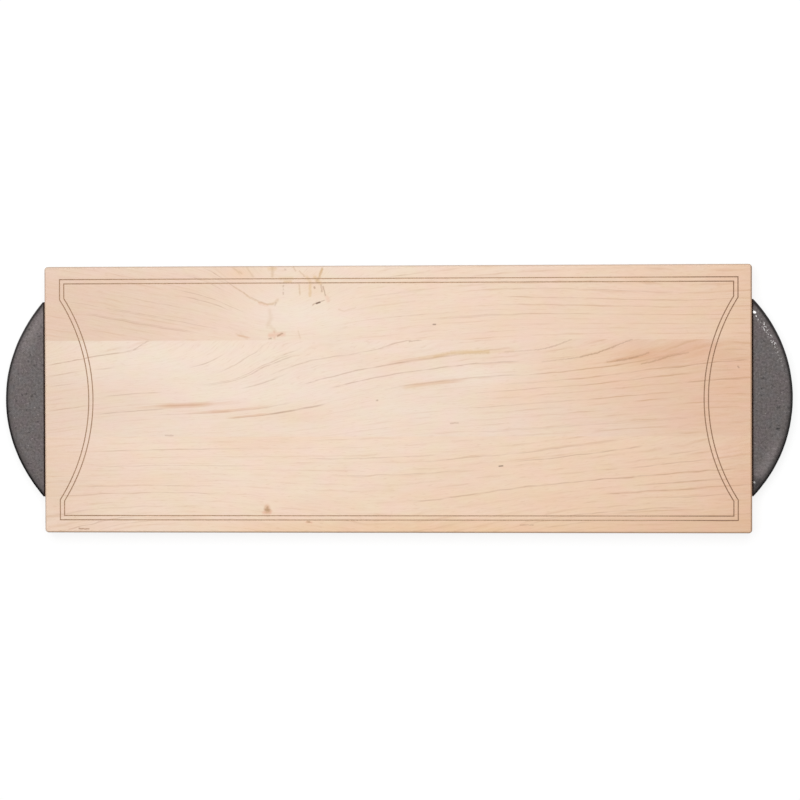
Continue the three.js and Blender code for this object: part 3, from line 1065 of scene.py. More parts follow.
def streak_nodes(tree, stave, along, level, place):
    """The mineral streaks, with ragged edges."""
    rags = stretch(tree, place, along=8, size=2.0, detail=2.0)
    ragged = calc(tree, "MULTIPLY_ADD", rags, STREAK_RAGGED, level)
    streaks = []
    for x, y, start, end, half_width, strength in MINERAL_STREAKS[stave]:
        at_level = line_level(stave, x, y)
        fade = min(STREAK_FADE, STREAK_FADE_SHARE * (end - start))
        edge = half_width * steepness(stave, x, y)
        core = STREAK_CORE_SHARE * edge
        streaks.append(streak(tree, along, ragged, at_level, start, end, fade, edge, core, strength))
    return total(tree, streaks)


def from_above(tree, place):
    """The place without its height."""
    return reckon(tree, "MULTIPLY", place, (1, 1, 0))


def shaken_place(tree, place):
    """The place seen from above, shaken a little so that no small mark has a clean edge."""
    shake = put(tree, "TexNoise", {"Vector": place, "Scale": SHAKE_SCALE, "Detail": 2.0}).outputs[1]
    shake = reckon(tree, "SUBTRACT", shake, (0.5, 0.5, 0.5))
    shake = reckon(tree, "MULTIPLY", shake, (SHAKE, SHAKE, SHAKE))
    return from_above(tree, reckon(tree, "ADD", shake, place))


print("a small mark is shaken by up to", SHAKE / 2, "mm")

# %% Colour of the maple
# How strong the ring lines are at the left and at the right, and where along the board that changes.
RING_STRENGTH = {"back": (0.3, 0.42), "middle": (0.24, 0.58), "front": (0.34, 0.35)}
RING_CHANGE = (30.0, 210.0)
RING_SHADE = 0.06
STREAK_STRENGTH = 0.75
LINE_STRENGTH = 0.48
# Small marks fade out between these depths, in mm.
MARK_DEPTHS = (12.0, 3.0)
DRIFT_SPAN = (-0.2, 0.3)
HUE_SPAN = (-0.2, 0.2)
# Two slow drifts of hue: from greenish to rosy, and from bluish to creamy, as shares of each colour.
HUE_DRIFTS = [
    ((0.988, 1.012, 1.0, 1.0), (1.012, 0.988, 1.0, 1.0), 14.0),
    ((1.0, 0.993, 1.018, 1.0), (1.0, 1.007, 0.982, 1.0), 11.0),
]


def drift_of_hue(tree, colour, place):
    """Let the wood turn a little rosier or creamier from patch to patch."""
    for one_side, other_side, size in HUE_DRIFTS:
        turn = soft_step(tree, stretch(tree, place, along=1.8, size=size, detail=2.0), *HUE_SPAN)
        colour = blend(tree, 1.0, colour, blend(tree, turn, one_side, other_side), "MULTIPLY")
    return colour


def maple_colour(tree, stave, along, across, level, place):
    """Everything that colours one stave, from wide to fine."""
    colour = MAPLE_GROUND[stave]
    slow = stretch(tree, place, along=4, size=22, detail=2.0)
    colour = blend(tree, soft_step(tree, slow, *DRIFT_SPAN, 0.0, DRIFT[stave]), colour, MAPLE_WARM)
    for *oval, tint in WIDE_TINTS[stave]:
        colour = blend(tree, swell(tree, along, across, *oval), colour, tint)
    colour = drift_of_hue(tree, colour, place)
    line, shade = ring_nodes(tree, stave, along, across, level)
    colour = blend(tree, times(tree, shade, RING_SHADE), colour, LATE_WOOD)
    strength = soft_step(tree, along, *RING_CHANGE, *RING_STRENGTH[stave])
    colour = blend(tree, times(tree, line, strength), colour, LATE_WOOD)
    streaks = streak_nodes(tree, stave, along, level, place)
    colour = blend(tree, times(tree, streaks, STREAK_STRENGTH), colour, MINERAL_BROWN)
    lines = line_nodes(tree, stave, along, level, place)
    colour = blend(tree, times(tree, lines, LINE_STRENGTH), colour, LINE_BROWN)
    sharp = from_above(tree, place)
    shaken = shaken_place(tree, place)
    reach_down = soft_step(tree, place_parts(tree, place)[2], *MARK_DEPTHS)
    for name, marks in SMALL_MARKS[stave].items():
        at_place = sharp if name == "dark" else shaken
        amount = strongest(tree, [stroke(tree, at_place, *mark) for mark in marks])
        colour = blend(tree, times(tree, amount, reach_down), colour, MARK_TONES[name])
    return colour, line


print("ring lines of the middle stave grow from left to right:", RING_STRENGTH["middle"])

# %% Fibres
FIBRE_SHARE = 0.05
RAY_SHARE = 0.12
RAY_RAMP = (0.58, 0.75)


def fibre_nodes(tree, along, level, depth):
    """Noise drawn out along the grain: long fibres, and short ray flecks."""
    places = []
    for share in (FIBRE_SHARE, RAY_SHARE):
        combined = put(tree, "CombineXYZ", {0: times(tree, along, share), 1: level, 2: depth})
        places.append(combined.outputs[0])
    fibres = cloud(tree, places[0], size=0.9, detail=3.0, rough=0.6)
    rays = soft_step(tree, cloud(tree, places[1], size=0.8, detail=1.0), *RAY_RAMP)
    return fibres, rays


print("fibres are drawn out", round(1 / FIBRE_SHARE), "times along the grain")

# %% Painted arris shade and end grain
# The painted arris shade: how far inside the outline it starts and is full, in mm, and how dark it gets.
ARRIS_SHADE_END = (2.0, 0.4)
ARRIS_SHADE_END_DARK = (0.2, 0.85)
ARRIS_SHADE_FRONT = (1.8, 0.3, 0.7)
ARRIS_SHADE_BACK = (1.6, 0.2, 0.3)
# Up and down the edge: the same two distances from the faces, and what is left halfway between them.
ARRIS_SHADE_HEIGHTS = (3.5, 1.2, 0.15)
SAWN_RAMP = (0.5, 0.95)
PORE_RAMP = (0.45, 0.7, 0.35, 0.7)


def by_end(tree, along, left, right):
    """One amount on the left half of the board, and another on the right."""
    return soft_step(tree, along, -1.0, 1.0, left, right)


def painted_arris_shade(tree, along, across, depth):
    """How dark the painted shade on the outer arrises is: more at the front, most at the right end."""
    half_length = BOARD_END / MM
    half_width = BOARD_SIDE / MM
    half_thick = BOARD_TOP / MM / 2
    start, full = ARRIS_SHADE_END
    dark = by_end(tree, along, *ARRIS_SHADE_END_DARK)
    from_middle = calc(tree, "ABSOLUTE", along)
    end = soft_step(tree, from_middle, half_length - start, half_length - full, 0.0, dark)
    start, full, dark = ARRIS_SHADE_FRONT
    front = soft_step(tree, across, start - half_width, full - half_width, 0.0, dark)
    start, full, dark = ARRIS_SHADE_BACK
    back = soft_step(tree, across, half_width - start, half_width - full, 0.0, dark)
    start, full, least = ARRIS_SHADE_HEIGHTS
    from_middle = calc(tree, "ABSOLUTE", calc(tree, "SUBTRACT", depth, half_thick))
    near_arris = soft_step(tree, from_middle, half_thick - start, half_thick - full, least, 1.0)
    return times(tree, strongest(tree, [end, front, back]), near_arris)


def end_grain(tree, place):
    """How dark the cut pores make the sawn ends of the board."""
    facing = put(tree, "SeparateXYZ", {0: put(tree, "NewGeometry").outputs["True Normal"]}).outputs["X"]
    sawn = soft_step(tree, calc(tree, "ABSOLUTE", facing), *SAWN_RAMP)
    pores = soft_step(tree, cloud(tree, place, size=0.7, rough=0.6), *PORE_RAMP)
    return times(tree, sawn, pores)


# The darker arris is painted shade.
print("the handled edge is full", ARRIS_SHADE_END[1], "mm inside the board's ends")

# %% Build the maple
DARK_FIBRE_RAMP = (0.4, 0.75, 0.0, 0.08)
PALE_FIBRE_RAMP = (0.6, 0.25, 0.0, 0.10)
RAY_STRENGTH = 0.16
SATIN_RAMP = (0.3, 0.7, 0.5, 0.6)
MAPLE_GLOSS = 0.22
RING_DIP = -0.3
MAPLE_BUMP = {"Strength": 0.12, "Distance": 0.06 * MM}


def maple(stave):
    """The satin maple of one stave."""
    material, tree, shader, place = finish("maple_" + stave)
    along, across, depth, level = grain_nodes(tree, stave, place)
    colour, line = maple_colour(tree, stave, along, across, level, place)
    fibres, rays = fibre_nodes(tree, along, level, depth)
    colour = blend(tree, soft_step(tree, fibres, *DARK_FIBRE_RAMP), colour, LATE_WOOD)
    colour = blend(tree, soft_step(tree, fibres, *PALE_FIBRE_RAMP), colour, MAPLE_PALE)
    colour = blend(tree, times(tree, rays, RAY_STRENGTH), colour, LATE_WOOD)
    colour = blend(tree, end_grain(tree, place), colour, LATE_WOOD)
    # Painted shade on the outer arrises.
    colour = blend(tree, painted_arris_shade(tree, along, across, depth), colour, ARRIS_SHADE_TONE)
    satin = soft_step(tree, fibres, *SATIN_RAMP)
    height = calc(tree, "MULTIPLY_ADD", line, RING_DIP, fibres)
    bump = put(tree, "Bump", {"Height": height, **MAPLE_BUMP}).outputs[0]
    feed(tree, shader, {"Base Color": colour, "Roughness": satin, "Normal": bump})
    feed(tree, shader, {"Specular IOR Level": MAPLE_GLOSS})
    return material


maple_finishes = {name: maple(name) for name in staves}
print("nodes in the middle stave's finish:", len(maple_finishes["middle"].node_tree.nodes))

# %% [markdown]
# ## The scorched line
#
# The laser leaves a brown, slightly sooty floor in each groove. It is darker where the beam slowed, so
# the brown drifts along the line, is deepest at the right end, and is broken by fine soot. It is a second
# material on the faces of the grooves. They are easy to find: away from the arris, no other face lies just
# below the top.

# %% Scorched floor of the border grooves
SCORCH_LIGHT = tone(204, 172, 144)
SCORCH_DARK = tone(166, 132, 104)
SCORCH_DEEP = tone(112, 68, 40)
SLOW_RAMP = (0.3, 0.7, 0.0, 1.0)
SLOW_STRENGTH = 0.4
SOOT_RAMP = (0.35, 0.7, 0.0, 1.0)
DEEP_RAMPS = [(210.0, 280.0, 0.0, 0.55), (-210.0, -280.0, 0.0, 0.28)]
SCORCH_ROUGH = (0.75, 0.9)
SCORCH_GLOSS = 0.2


def scorched_line():
    """Brown burnt maple."""
    material, tree, shader, place = finish("scorched_line")
    slow = soft_step(tree, cloud(tree, place, size=30), *SLOW_RAMP)
    soot = soft_step(tree, cloud(tree, place, size=0.8, detail=3.0, rough=0.65), *SOOT_RAMP)
    colour = blend(tree, soot, SCORCH_LIGHT, SCORCH_DARK)
    colour = blend(tree, times(tree, slow, SLOW_STRENGTH), colour, SCORCH_LIGHT)
    along = place_parts(tree, place)[0]
    for ramp in DEEP_RAMPS:
        colour = blend(tree, soft_step(tree, along, *ramp), colour, SCORCH_DEEP)
    rough = soft_step(tree, soot, 0.0, 1.0, *SCORCH_ROUGH)
    feed(tree, shader, {"Base Color": colour, "Roughness": rough, "Specular IOR Level": SCORCH_GLOSS})
    return material


scorched = scorched_line()
print("finish of the grooves:", scorched.name)

# %% Finish the staves
# Too thin to count as a step in the wood.
HAIR = 0.01 * MM


def in_groove(polygon):
    """Whether a face of a stave lies in an engraved line."""
    x, y, z = polygon.center
    sunk = HAIR < BOARD_TOP - z < LINE_DEPTH
    inside = abs(x) < BOARD_END - 2 * ARRIS_RADIUS and abs(y) < BOARD_SIDE - 2 * ARRIS_RADIUS
    return sunk and inside


for name, stave in staves.items():
    dress(stave, maple_finishes[name], scorched)
    for polygon in stave.data.polygons:
        polygon.material_index = int(in_groove(polygon))
    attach(stave, "root")
    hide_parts("stave_" + name)
print("staves finished:", [stave.name for stave in staves.values()])

# %% [markdown]
# ## Cast the two grips
#
# A grip is a flat half-moon, 9 mm thick, poured in iron. Its outer rim is rounded and runs out to
# a thin tip at both ends, and its straight side is the shoulder that meets the board. It could be a disc
# cut in half, but a disc has no points on its faces to give it a cast skin. Here the half-moon is a
# grid: lines run from the shoulder to the rim, and the rings of the rim carry the same lines around the
# edge. A little noise then pushes the surface in and out, as sand leaves it, and no two castings come
# out quite alike: the right one shrank a little more, and both sit a touch towards the back.

# %% Grip sizes
GRIP_REACH = grip_high.x - BOARD_END
GRIP_HALF_WIDTH = grip_high.y
GRIP_HALF_THICK = (grip_high.z - grip_low.z) / 2
RIM_RADIUS = 3 * MM
SHOULDER_ARRIS = 0.8 * MM
SHOULDER_GAP = 0.3 * MM
TIP_DEPTH = 2 * MM
TIP_FULLNESS = {"left": 1.8 * MM, "right": 0.4 * MM}
LEAST_TIP = 0.3 * MM
TIP_RUN = 1.2 * MM
TIP_POWER = 6
CAST_SHRINK = {"left": 0.0, "right": 0.6 * MM}
CAST_OFFSET = {"left": 0.3 * MM, "right": 0.8 * MM}
ARC_STEPS = 220
FACE_STEPS = 44
RIM_STEPS = 10
GRIP_BOW = GRIP_REACH - TIP_DEPTH
GRIP_RADIUS = (GRIP_HALF_WIDTH**2 + GRIP_BOW**2) / (2 * GRIP_BOW)
GRIP_CENTRE = GRIP_REACH - GRIP_RADIUS
print("grip: radius", round(GRIP_RADIUS / MM, 1), "mm, reach", round(GRIP_REACH / MM, 1), "mm")

# %% Levels of the half-moon
def half_moon(inset, arris, height, fullness):
    """One level of the grip: points along the rim, and points along the shoulder facing them."""
    shoulder_x = SHOULDER_GAP + arris
    radius = GRIP_RADIUS - inset
    widest = math.sqrt(radius**2 - (shoulder_x + LEAST_TIP - GRIP_CENTRE) ** 2)
    half_angle = math.asin(min(widest, GRIP_HALF_WIDTH + TIP_RUN - arris) / radius)
    rim, shoulder = [], []
    for step in range(ARC_STEPS + 1):
        angle = half_angle * (2 * step / ARC_STEPS - 1)
        y = radius * math.sin(angle)
        fuller = fullness * (y / GRIP_HALF_WIDTH) ** TIP_POWER
        rim.append(Vector((GRIP_CENTRE + radius * math.cos(angle) + fuller, y, height)))
        shoulder.append(Vector((shoulder_x, y, height)))
    return rim, shoulder


def grip_levels(fullness):
    """Levels from the lower face to the upper: in by the rim's rounding, and in by the arris."""
    levels = []
    for side in (-1, 1):
        for step in range(RIM_STEPS + 1):
            turn = QUARTER_TURN * step / RIM_STEPS
            turn = QUARTER_TURN - turn if side < 0 else turn
            rise = GRIP_HALF_THICK - RIM_RADIUS * (1 - math.sin(turn))
            inset = RIM_RADIUS * (1 - math.cos(turn))
            near_face = max(0.0, rise - (GRIP_HALF_THICK - SHOULDER_ARRIS))
            arris = SHOULDER_ARRIS - math.sqrt(max(0.0, SHOULDER_ARRIS**2 - near_face**2))
            levels.append(half_moon(inset, arris, side * rise, fullness))
    return levels


print("levels of a grip, from its lower face to its upper:", len(grip_levels(0)))

# %% Half-moon body
def half_moon_body(name, fullness):
    """Join the levels, then fill the lower and upper face with straight lines of points."""
    shape = bmesh.new()
    rows = []
    for rim, shoulder in grip_levels(fullness):
        rows.append([[shape.verts.new(p) for p in line] for line in (rim, shoulder)])
    for (rim_a, shoulder_a), (rim_b, shoulder_b) in zip(rows, rows[1:]):
        for step in range(ARC_STEPS):
            shape.faces.new((rim_a[step], rim_a[step + 1], rim_b[step + 1], rim_b[step]))
            corners = (shoulder_a[step + 1], shoulder_a[step], shoulder_b[step], shoulder_b[step + 1])
            shape.faces.new(corners)
        for tip, order in ((0, 1), (ARC_STEPS, -1)):
            corners = (shoulder_a[tip], rim_a[tip], rim_b[tip], shoulder_b[tip])
            shape.faces.new(corners[::order])
    for (rim, shoulder), order in ((rows[0], -1), (rows[-1], 1)):
        lines = [shoulder]
        for part in range(1, FACE_STEPS):
            share = part / FACE_STEPS
            lines.append([shape.verts.new(s.co.lerp(r.co, share)) for s, r in zip(shoulder, rim)])
        lines.append(rim)
        for inner, outer in zip(lines, lines[1:]):
            for step in range(ARC_STEPS):
                corners = (inner[step], outer[step], outer[step + 1], inner[step + 1])
                shape.faces.new(corners[::order])
    return freeze(shape, name)


print("lines of points across each face:", FACE_STEPS + 1)

# %% Sand-cast skin
SKIN_FINE = 0.05 * MM
SKIN_WIDE = 0.10 * MM
SKIN_FREE = 2.0 * MM
FINE_LUMPS = 1.7
WIDE_LUMPS = 11
SEED_STEP = 40


def cast_skin(body, seed):
    """Push each point along its normal by two sizes of noise, less near the machined shoulder."""
    shape = bmesh.new()
    shape.from_mesh(body.data)
    shape.normal_update()
    pushes = []
    for vertex in shape.verts:
        place = vertex.co / MM + Vector((seed, 0, 0))
        fine = SKIN_FINE * noise.noise(place / FINE_LUMPS)
        wide = SKIN_WIDE * noise.noise(place / WIDE_LUMPS)
        free = min(1.0, max(0.0, (vertex.co.x - SHOULDER_GAP - SHOULDER_ARRIS) / SKIN_FREE))
        pushes.append(vertex.normal * (fine + wide) * free)
    for vertex, push in zip(shape.verts, pushes):
        vertex.co += push
    shape.to_mesh(body.data)
    shape.free()


print("points in one level of the grip:", 2 * (ARC_STEPS + 1))

# %% [markdown]
# ## Add the tongue and its holes
#
# The tongue is the part of the casting that goes into the board. It has round corners, which help it into
# the mortise, and three holes for the screws. The outer two are slots, because the panel grows and
# shrinks across its grain with the seasons and the iron does not. The tongue is lofted between two
# levels, drilled, and joined to the half-moon with a union.

# %% Tongue
TONGUE_LENGTH = 36 * MM
TONGUE_HALF_THICK = 2.2 * MM
TONGUE_CORNER = 4 * MM
TONGUE_ROOT = 6 * MM


def tongue_outline(height):
    """A strip that starts inside the half-moon and ends in two round corners."""
    inner = SHOULDER_GAP - TONGUE_LENGTH
    edge = TONGUE_WIDTH / 2
    ring = [(TONGUE_ROOT, -edge + TONGUE_CORNER, height), (TONGUE_ROOT, edge - TONGUE_CORNER, height)]
    ring.append((SHOULDER_GAP, edge, height))
    for side in (1, -1):
        for step in range(CORNER_STEPS + 1):
            angle = QUARTER_TURN * (step / CORNER_STEPS if side > 0 else 1 - step / CORNER_STEPS)
            x = inner + TONGUE_CORNER * (1 - math.sin(angle))
            y = edge - TONGUE_CORNER * (1 - math.cos(angle))
            ring.append((x, side * y, height))
    ring.append((SHOULDER_GAP, -edge, height))
    return ring


print("points in the tongue's outline:", len(tongue_outline(0)))

# %% Slots for the screws
HOLE_RUN = {"back": SEASONAL_PLAY, "middle": HAIR, "front": SEASONAL_PLAY}


def slot_cutter(x, y, run):
    """An upright slot that lets a screw slide along the board's width."""
    radius = THREAD_RADIUS + FIT_GAP
    rings = []
    for height in (-2 * TONGUE_HALF_THICK, 2 * TONGUE_HALF_THICK):
        ring = []
        for px, py, pz in circle(radius, height):
            ring.append((x + px, y + py + (run if py >= 0 else -run), pz))
        rings.append(ring)
    return skin("slot_cutter", rings)


print("an outer screw can slide", SEASONAL_PLAY / MM, "mm each way")

# %% Grips
def make_grip(end, direction):
    """Half-moon with cast skin and drilled tongue, set against one end of the board."""
    body = half_moon_body("iron_grip_" + end, TIP_FULLNESS[end])
    cast_skin(body, seed=SEED_STEP * direction)
    for vertex in body.data.vertices:
        vertex.co.x *= 1 - CAST_SHRINK[end] / GRIP_REACH
        vertex.co.y += direction * CAST_OFFSET[end]
    tongue = skin("tongue", [tongue_outline(-TONGUE_HALF_THICK), tongue_outline(TONGUE_HALF_THICK)])
    for stave in staves:
        middle = screw_place(end, stave)[0]
        hole_x = direction * middle.x - BOARD_END
        cut(tongue, slot_cutter(hole_x, direction * middle.y, HOLE_RUN[stave]))
    cut(body, tongue, "UNION")
    turn = Matrix.Rotation(0 if direction > 0 else math.pi, 4, "Z")
    body.data.transform(turn @ Matrix.Translation((BOARD_END, 0, MID_HEIGHT)))
    soften(body, sharpest=40)
    return body


grips = {end: make_grip(end, direction) for end, direction in ENDS.items()}
for end, body in grips.items():
    print(end, "grip:", len(body.data.polygons), "faces, mm:", [round(v / MM, 1) for v in body.dimensions])

# %% [markdown]
# ## The waxed iron finish
#
# The iron is dark grey with a faint brown and rosy cast that changes from patch to patch, waxed and dull.
# Its rounded rim is painted darker than the flat faces, as shade: a soft darkening towards the rim and a
# very dark line at its edge, with a painted sheen where the rim turns to the light. Painted shade lies in
# the seam at the shoulder, and the right grip is painted a little darker overall, as shade. Fine sand
# grain mottles it, small pits catch dirt, and painted glints sit near the tips of the right grip and in a
# trail inside its rim.

# %% Tones and single marks of the iron
IRON_FACE = tone(77, 73, 73)
IRON_ROSY = tone(79, 71, 72)
IRON_BROWN = tone(76, 70, 68)
# Very dark tone of the pits, also used for painted shade at the rim and on the right grip.
IRON_PITS_AND_SHADE = tone(12, 10, 10)
IRON_PIT = tone(60, 54, 53)
IRON_PALE = tone(92, 86, 86)
# Tone of pale specks, also used for the painted sheen on the rim.
IRON_SPECK_AND_SHEEN = tone(128, 120, 119)
# Tone of the painted shade in the seam at the shoulder.
IRON_SEAM_SHADE = tone(40, 24, 19)
# Tone of the painted glints.
IRON_GLINT = tone(250, 248, 246)
# Strokes, from one place to another, with half a width and a strength.
# Painted glints near the tips of the right grip.
GLINT_SPOTS = [(306.9, 74.2, 307.6, 73.7, 1.5, 1.0), (307, -71.5, 307.1, -71.9, 1.2, 0.3)]
DARK_PITS = [
    (326.6, -25.9, 327.5, -25.7, 2.1, 1.0), (325.6, -2.1, 326.2, -2.1, 1.2, 0.4),
    (-317.5, 2.8, -316.7, 3.2, 1.6, 0.5), (-314.6, 5, -314, 5.4, 1.6, 0.5),
    (-315.8, 29.7, -314.8, 29.7, 1.3, 0.5), (-331.2, -1, -330.4, -1, 1.3, 0.5),
    (-309, 64.6, -308.8, 63.4, 1.4, 0.5),
]


print("single pits in the two grips:", len(DARK_PITS))

# %% Rim distance, glints and pits
STREWN_PIT_RAMP = (0.66, 0.76, 0.0, 0.55)
# A trail of glints runs this far inside the rim, with a width and a stretch across the board, in mm.
GLINT_INSET = 6.8
GLINT_WIDTH = (2.6, 0.6)
GLINT_STRETCH = (18.0, 60.0)
GLINT_RAMP = (0.56, 0.68, 0.0, 0.75)


def rim_distance(tree, along, across):
    """How far a place lies from the middle of its grip's arc, in mm."""
    share = calc(tree, "DIVIDE", calc(tree, "ABSOLUTE", across), GRIP_HALF_WIDTH / MM)
    fullness = by_end(tree, along, *[TIP_FULLNESS[end] / MM for end in ENDS])
    fuller = times(tree, calc(tree, "POWER", share, TIP_POWER), fullness)
    away = calc(tree, "SUBTRACT", calc(tree, "ABSOLUTE", along), (BOARD_END + GRIP_CENTRE) / MM)
    away = calc(tree, "SUBTRACT", away, fuller)
    return calc(tree, "SQRT", calc(tree, "MULTIPLY_ADD", away, away, times(tree, across, across)))


def painted_glint_nodes(tree, along, across, rim, place):
    """Painted glints: spots near the tips of the right grip, and a trail of specks inside its rim."""
    off_trail = calc(tree, "ABSOLUTE", calc(tree, "SUBTRACT", rim, GRIP_RADIUS / MM - GLINT_INSET))
    trail = times(tree, soft_step(tree, off_trail, *GLINT_WIDTH), soft_step(tree, across, *GLINT_STRETCH))
    trail = times(tree, trail, calc(tree, "GREATER_THAN", along, 0.0))
    specks = soft_step(tree, cloud(tree, place, size=1.2, rough=0.6), *GLINT_RAMP)
    level = from_above(tree, place)
    spots = strongest(tree, [stroke(tree, level, *spot) for spot in GLINT_SPOTS])
    return calc(tree, "MAXIMUM", spots, times(tree, trail, specks))


def pit_nodes(tree, place):
    """A few single pits, and the smaller ones that are strewn between them."""
    level = from_above(tree, place)
    single = strongest(tree, [stroke(tree, level, *pit) for pit in DARK_PITS])
    strewn = soft_step(tree, cloud(tree, place, size=3.1, detail=1.0), *STREWN_PIT_RAMP)
    return calc(tree, "MAXIMUM", single, strewn)


print("the glints run", GLINT_INSET, "mm inside the rim")

# %% Painted shade and sheen of the rim
# Spans and ramps go across the board, and insets go inwards from the rim, in mm.
GRIP_SPAN = (-60.0, 60.0)
# Painted shade darkens towards the rim, a very dark painted line lies at its edge, and a painted sheen
# lies where the rim turns to the light.
DUSK_SHADE_INSETS = (8.5, 5.0)
DUSK_SHADE_FULL = 1.2
DUSK_SHADE_DARK = (0.55, 0.22)
DUSK_SHADE_BY_END = (-0.08, 0.12)
SHADED_TIP_RAMP = (-62.0, -72.0, 0.0, 0.75)
RIM_SHADE_INSETS = (2.8, 1.4)
RIM_SHADE_RAMP = (-60.0, 70.0, 1.0, 0.6)
SHEEN_BACK_RAMP = (10.0, 65.0, 0.0, 0.23)
SHEEN_FRONT_RAMP = (-20.0, -50.0, 0.0, 0.2)
SHEEN_INSETS = (18.0, 7.0, 2.5)


def rim_shade_and_sheen_nodes(tree, along, across, rim):
    """Painted shade inside the rim, a very dark painted line at its edge, and a painted sheen in the
    light.
    """
    outer = GRIP_RADIUS / MM
    on_left = by_end(tree, along, 1.0, 0.0)
    on_right = by_end(tree, along, 0.0, 1.0)
    dark = soft_step(tree, across, *GRIP_SPAN, *DUSK_SHADE_DARK)
    dark = calc(tree, "ADD", dark, by_end(tree, along, *DUSK_SHADE_BY_END))
    start = soft_step(tree, across, *GRIP_SPAN, *[outer - inset for inset in DUSK_SHADE_INSETS])
    dusk_shade = soft_step(tree, rim, start, outer - DUSK_SHADE_FULL, 0.0, dark)
    tip = times(tree, soft_step(tree, across, *SHADED_TIP_RAMP), on_right)
    dusk_shade = calc(tree, "MAXIMUM", dusk_shade, tip)
    edge = soft_step(tree, across, *RIM_SHADE_RAMP)
    rim_shade = soft_step(tree, rim, *[outer - inset for inset in RIM_SHADE_INSETS], 0.0, edge)
    high = times(tree, soft_step(tree, across, *SHEEN_BACK_RAMP), on_left)
    low = times(tree, soft_step(tree, across, *SHEEN_FRONT_RAMP), on_right)
    begins, full, ends = [outer - inset for inset in SHEEN_INSETS]
    band = times(tree, soft_step(tree, rim, begins, full), calc(tree, "ADD", high, low))
    painted_sheen = times(tree, soft_step(tree, rim, ends, full), band)
    return dusk_shade, rim_shade, painted_sheen


# The very dark line at the edge of the rim is painted shade.
print("the black edge starts", RIM_SHADE_INSETS[0], "mm inside the rim")

# %% Build the iron
PATCH_RAMP = (0.4, 0.6)
BROWN_RAMP = (0.35, 0.7)
HOLLOW_RAMP = (0.54, 0.8, 0.0, 0.28)
CREST_RAMP = (0.42, 0.22, 0.0, 0.32)
SPECK_RAMP = (0.68, 0.78, 0.0, 0.5)
# The right grip is painted darker overall, as shade.
GRIP_SHADE_BY_END = (0.0, 0.15)
# Where the painted shade in the seam at the shoulder lies, in mm beyond the board's end.
SEAM_SHADE_BY_END = (0.7, 0.0)
SEAM_SHADE_SPAN = (1.7, 0.9)
IRON_METAL = (0.6, 0.0)
IRON_GLOSS = (0.5, 0.05)
IRON_ROUGH_RAMP = (0.3, 0.75, 0.42, 0.62)
IRON_BUMP = {"Strength": 0.2, "Distance": 0.3 * MM}


def seam_shade(tree, along):
    """Painted shade in the seam between the iron and the board's end."""
    from_middle = calc(tree, "ABSOLUTE", along)
    from_middle = calc(tree, "SUBTRACT", from_middle, by_end(tree, along, *SEAM_SHADE_BY_END))
    return soft_step(tree, from_middle, *[BOARD_END / MM + gap for gap in SEAM_SHADE_SPAN])


def waxed_iron():
    """Dark waxed cast iron, with painted shade and sheen at its rim and seam, and painted glints."""
    material, tree, shader, place = finish("waxed_cast_iron")
    along, across, _ = place_parts(tree, place)
    rim = rim_distance(tree, along, across)
    mottle = cloud(tree, place, size=7, detail=3.0, rough=0.6)
    sand = cloud(tree, place, size=2.0, rough=0.6)
    patches = soft_step(tree, cloud(tree, place, size=16), *PATCH_RAMP)
    specks = soft_step(tree, cloud(tree, place, size=1.5, detail=1.0), *SPECK_RAMP)
    dusk_shade, rim_shade, painted_sheen = rim_shade_and_sheen_nodes(tree, along, across, rim)
    # The seam at the shoulder gets painted shade.
    shoulder = seam_shade(tree, along)
    layers = [
        (patches, IRON_ROSY),
        (soft_step(tree, mottle, *BROWN_RAMP), IRON_BROWN),
        (soft_step(tree, sand, *HOLLOW_RAMP), IRON_PIT),
        (soft_step(tree, sand, *CREST_RAMP), IRON_PALE),
        (specks, IRON_SPECK_AND_SHEEN),
        (pit_nodes(tree, place), IRON_PITS_AND_SHADE),
        # Painted shade over the whole right grip.
        (by_end(tree, along, *GRIP_SHADE_BY_END), IRON_PITS_AND_SHADE),
        # Painted sheen, painted shade towards the rim, and a very dark painted line at its edge.
        (painted_sheen, IRON_SPECK_AND_SHEEN),
        (dusk_shade, IRON_PITS_AND_SHADE),
        (rim_shade, IRON_PITS_AND_SHADE),
        # Painted shade in the seam.
        (shoulder, IRON_SEAM_SHADE),
        # Painted glints.
        (painted_glint_nodes(tree, along, across, rim, place), IRON_GLINT),
    ]
    colour = IRON_FACE
    for amount, layer in layers:
        colour = blend(tree, amount, colour, layer)
    matt = calc(tree, "MAXIMUM", rim_shade, shoulder)
    metal = soft_step(tree, matt, 0.0, 1.0, *IRON_METAL)
    gloss = soft_step(tree, matt, 0.0, 1.0, *IRON_GLOSS)
    rough = soft_step(tree, sand, *IRON_ROUGH_RAMP)
    bump = put(tree, "Bump", {"Height": sand, **IRON_BUMP}).outputs[0]
    feed(tree, shader, {"Base Color": colour, "Metallic": metal, "Specular IOR Level": gloss})
    feed(tree, shader, {"Roughness": rough, "Normal": bump})
    return material


iron = waxed_iron()
print("nodes in the iron's finish:", len(iron.node_tree.nodes))

# %% Finish the grips
for end, body in grips.items():
    dress(body, iron)
    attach(body, "root")
    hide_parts("grip_" + end)
print("grips finished in", iron.name)

# %% [markdown]
# ## Turn the screws
#
# Six wood screws hold the grips from below. Each has a flat head with a cone under it, a short plain
# neck, and a thread that winds to a point. It is lofted as rings around an upright axis, and the thread
# is made by letting the radius of each point depend on its height and on its angle, which winds a ridge
# around the core. The cross recess is cut last, with a tapered cutter, as a punch would form it.

# %% Thread of a screw
ROOT_RADIUS = 1.3 * MM
THREAD_PITCH = 2.4 * MM
POINT_LENGTH = 3 * MM


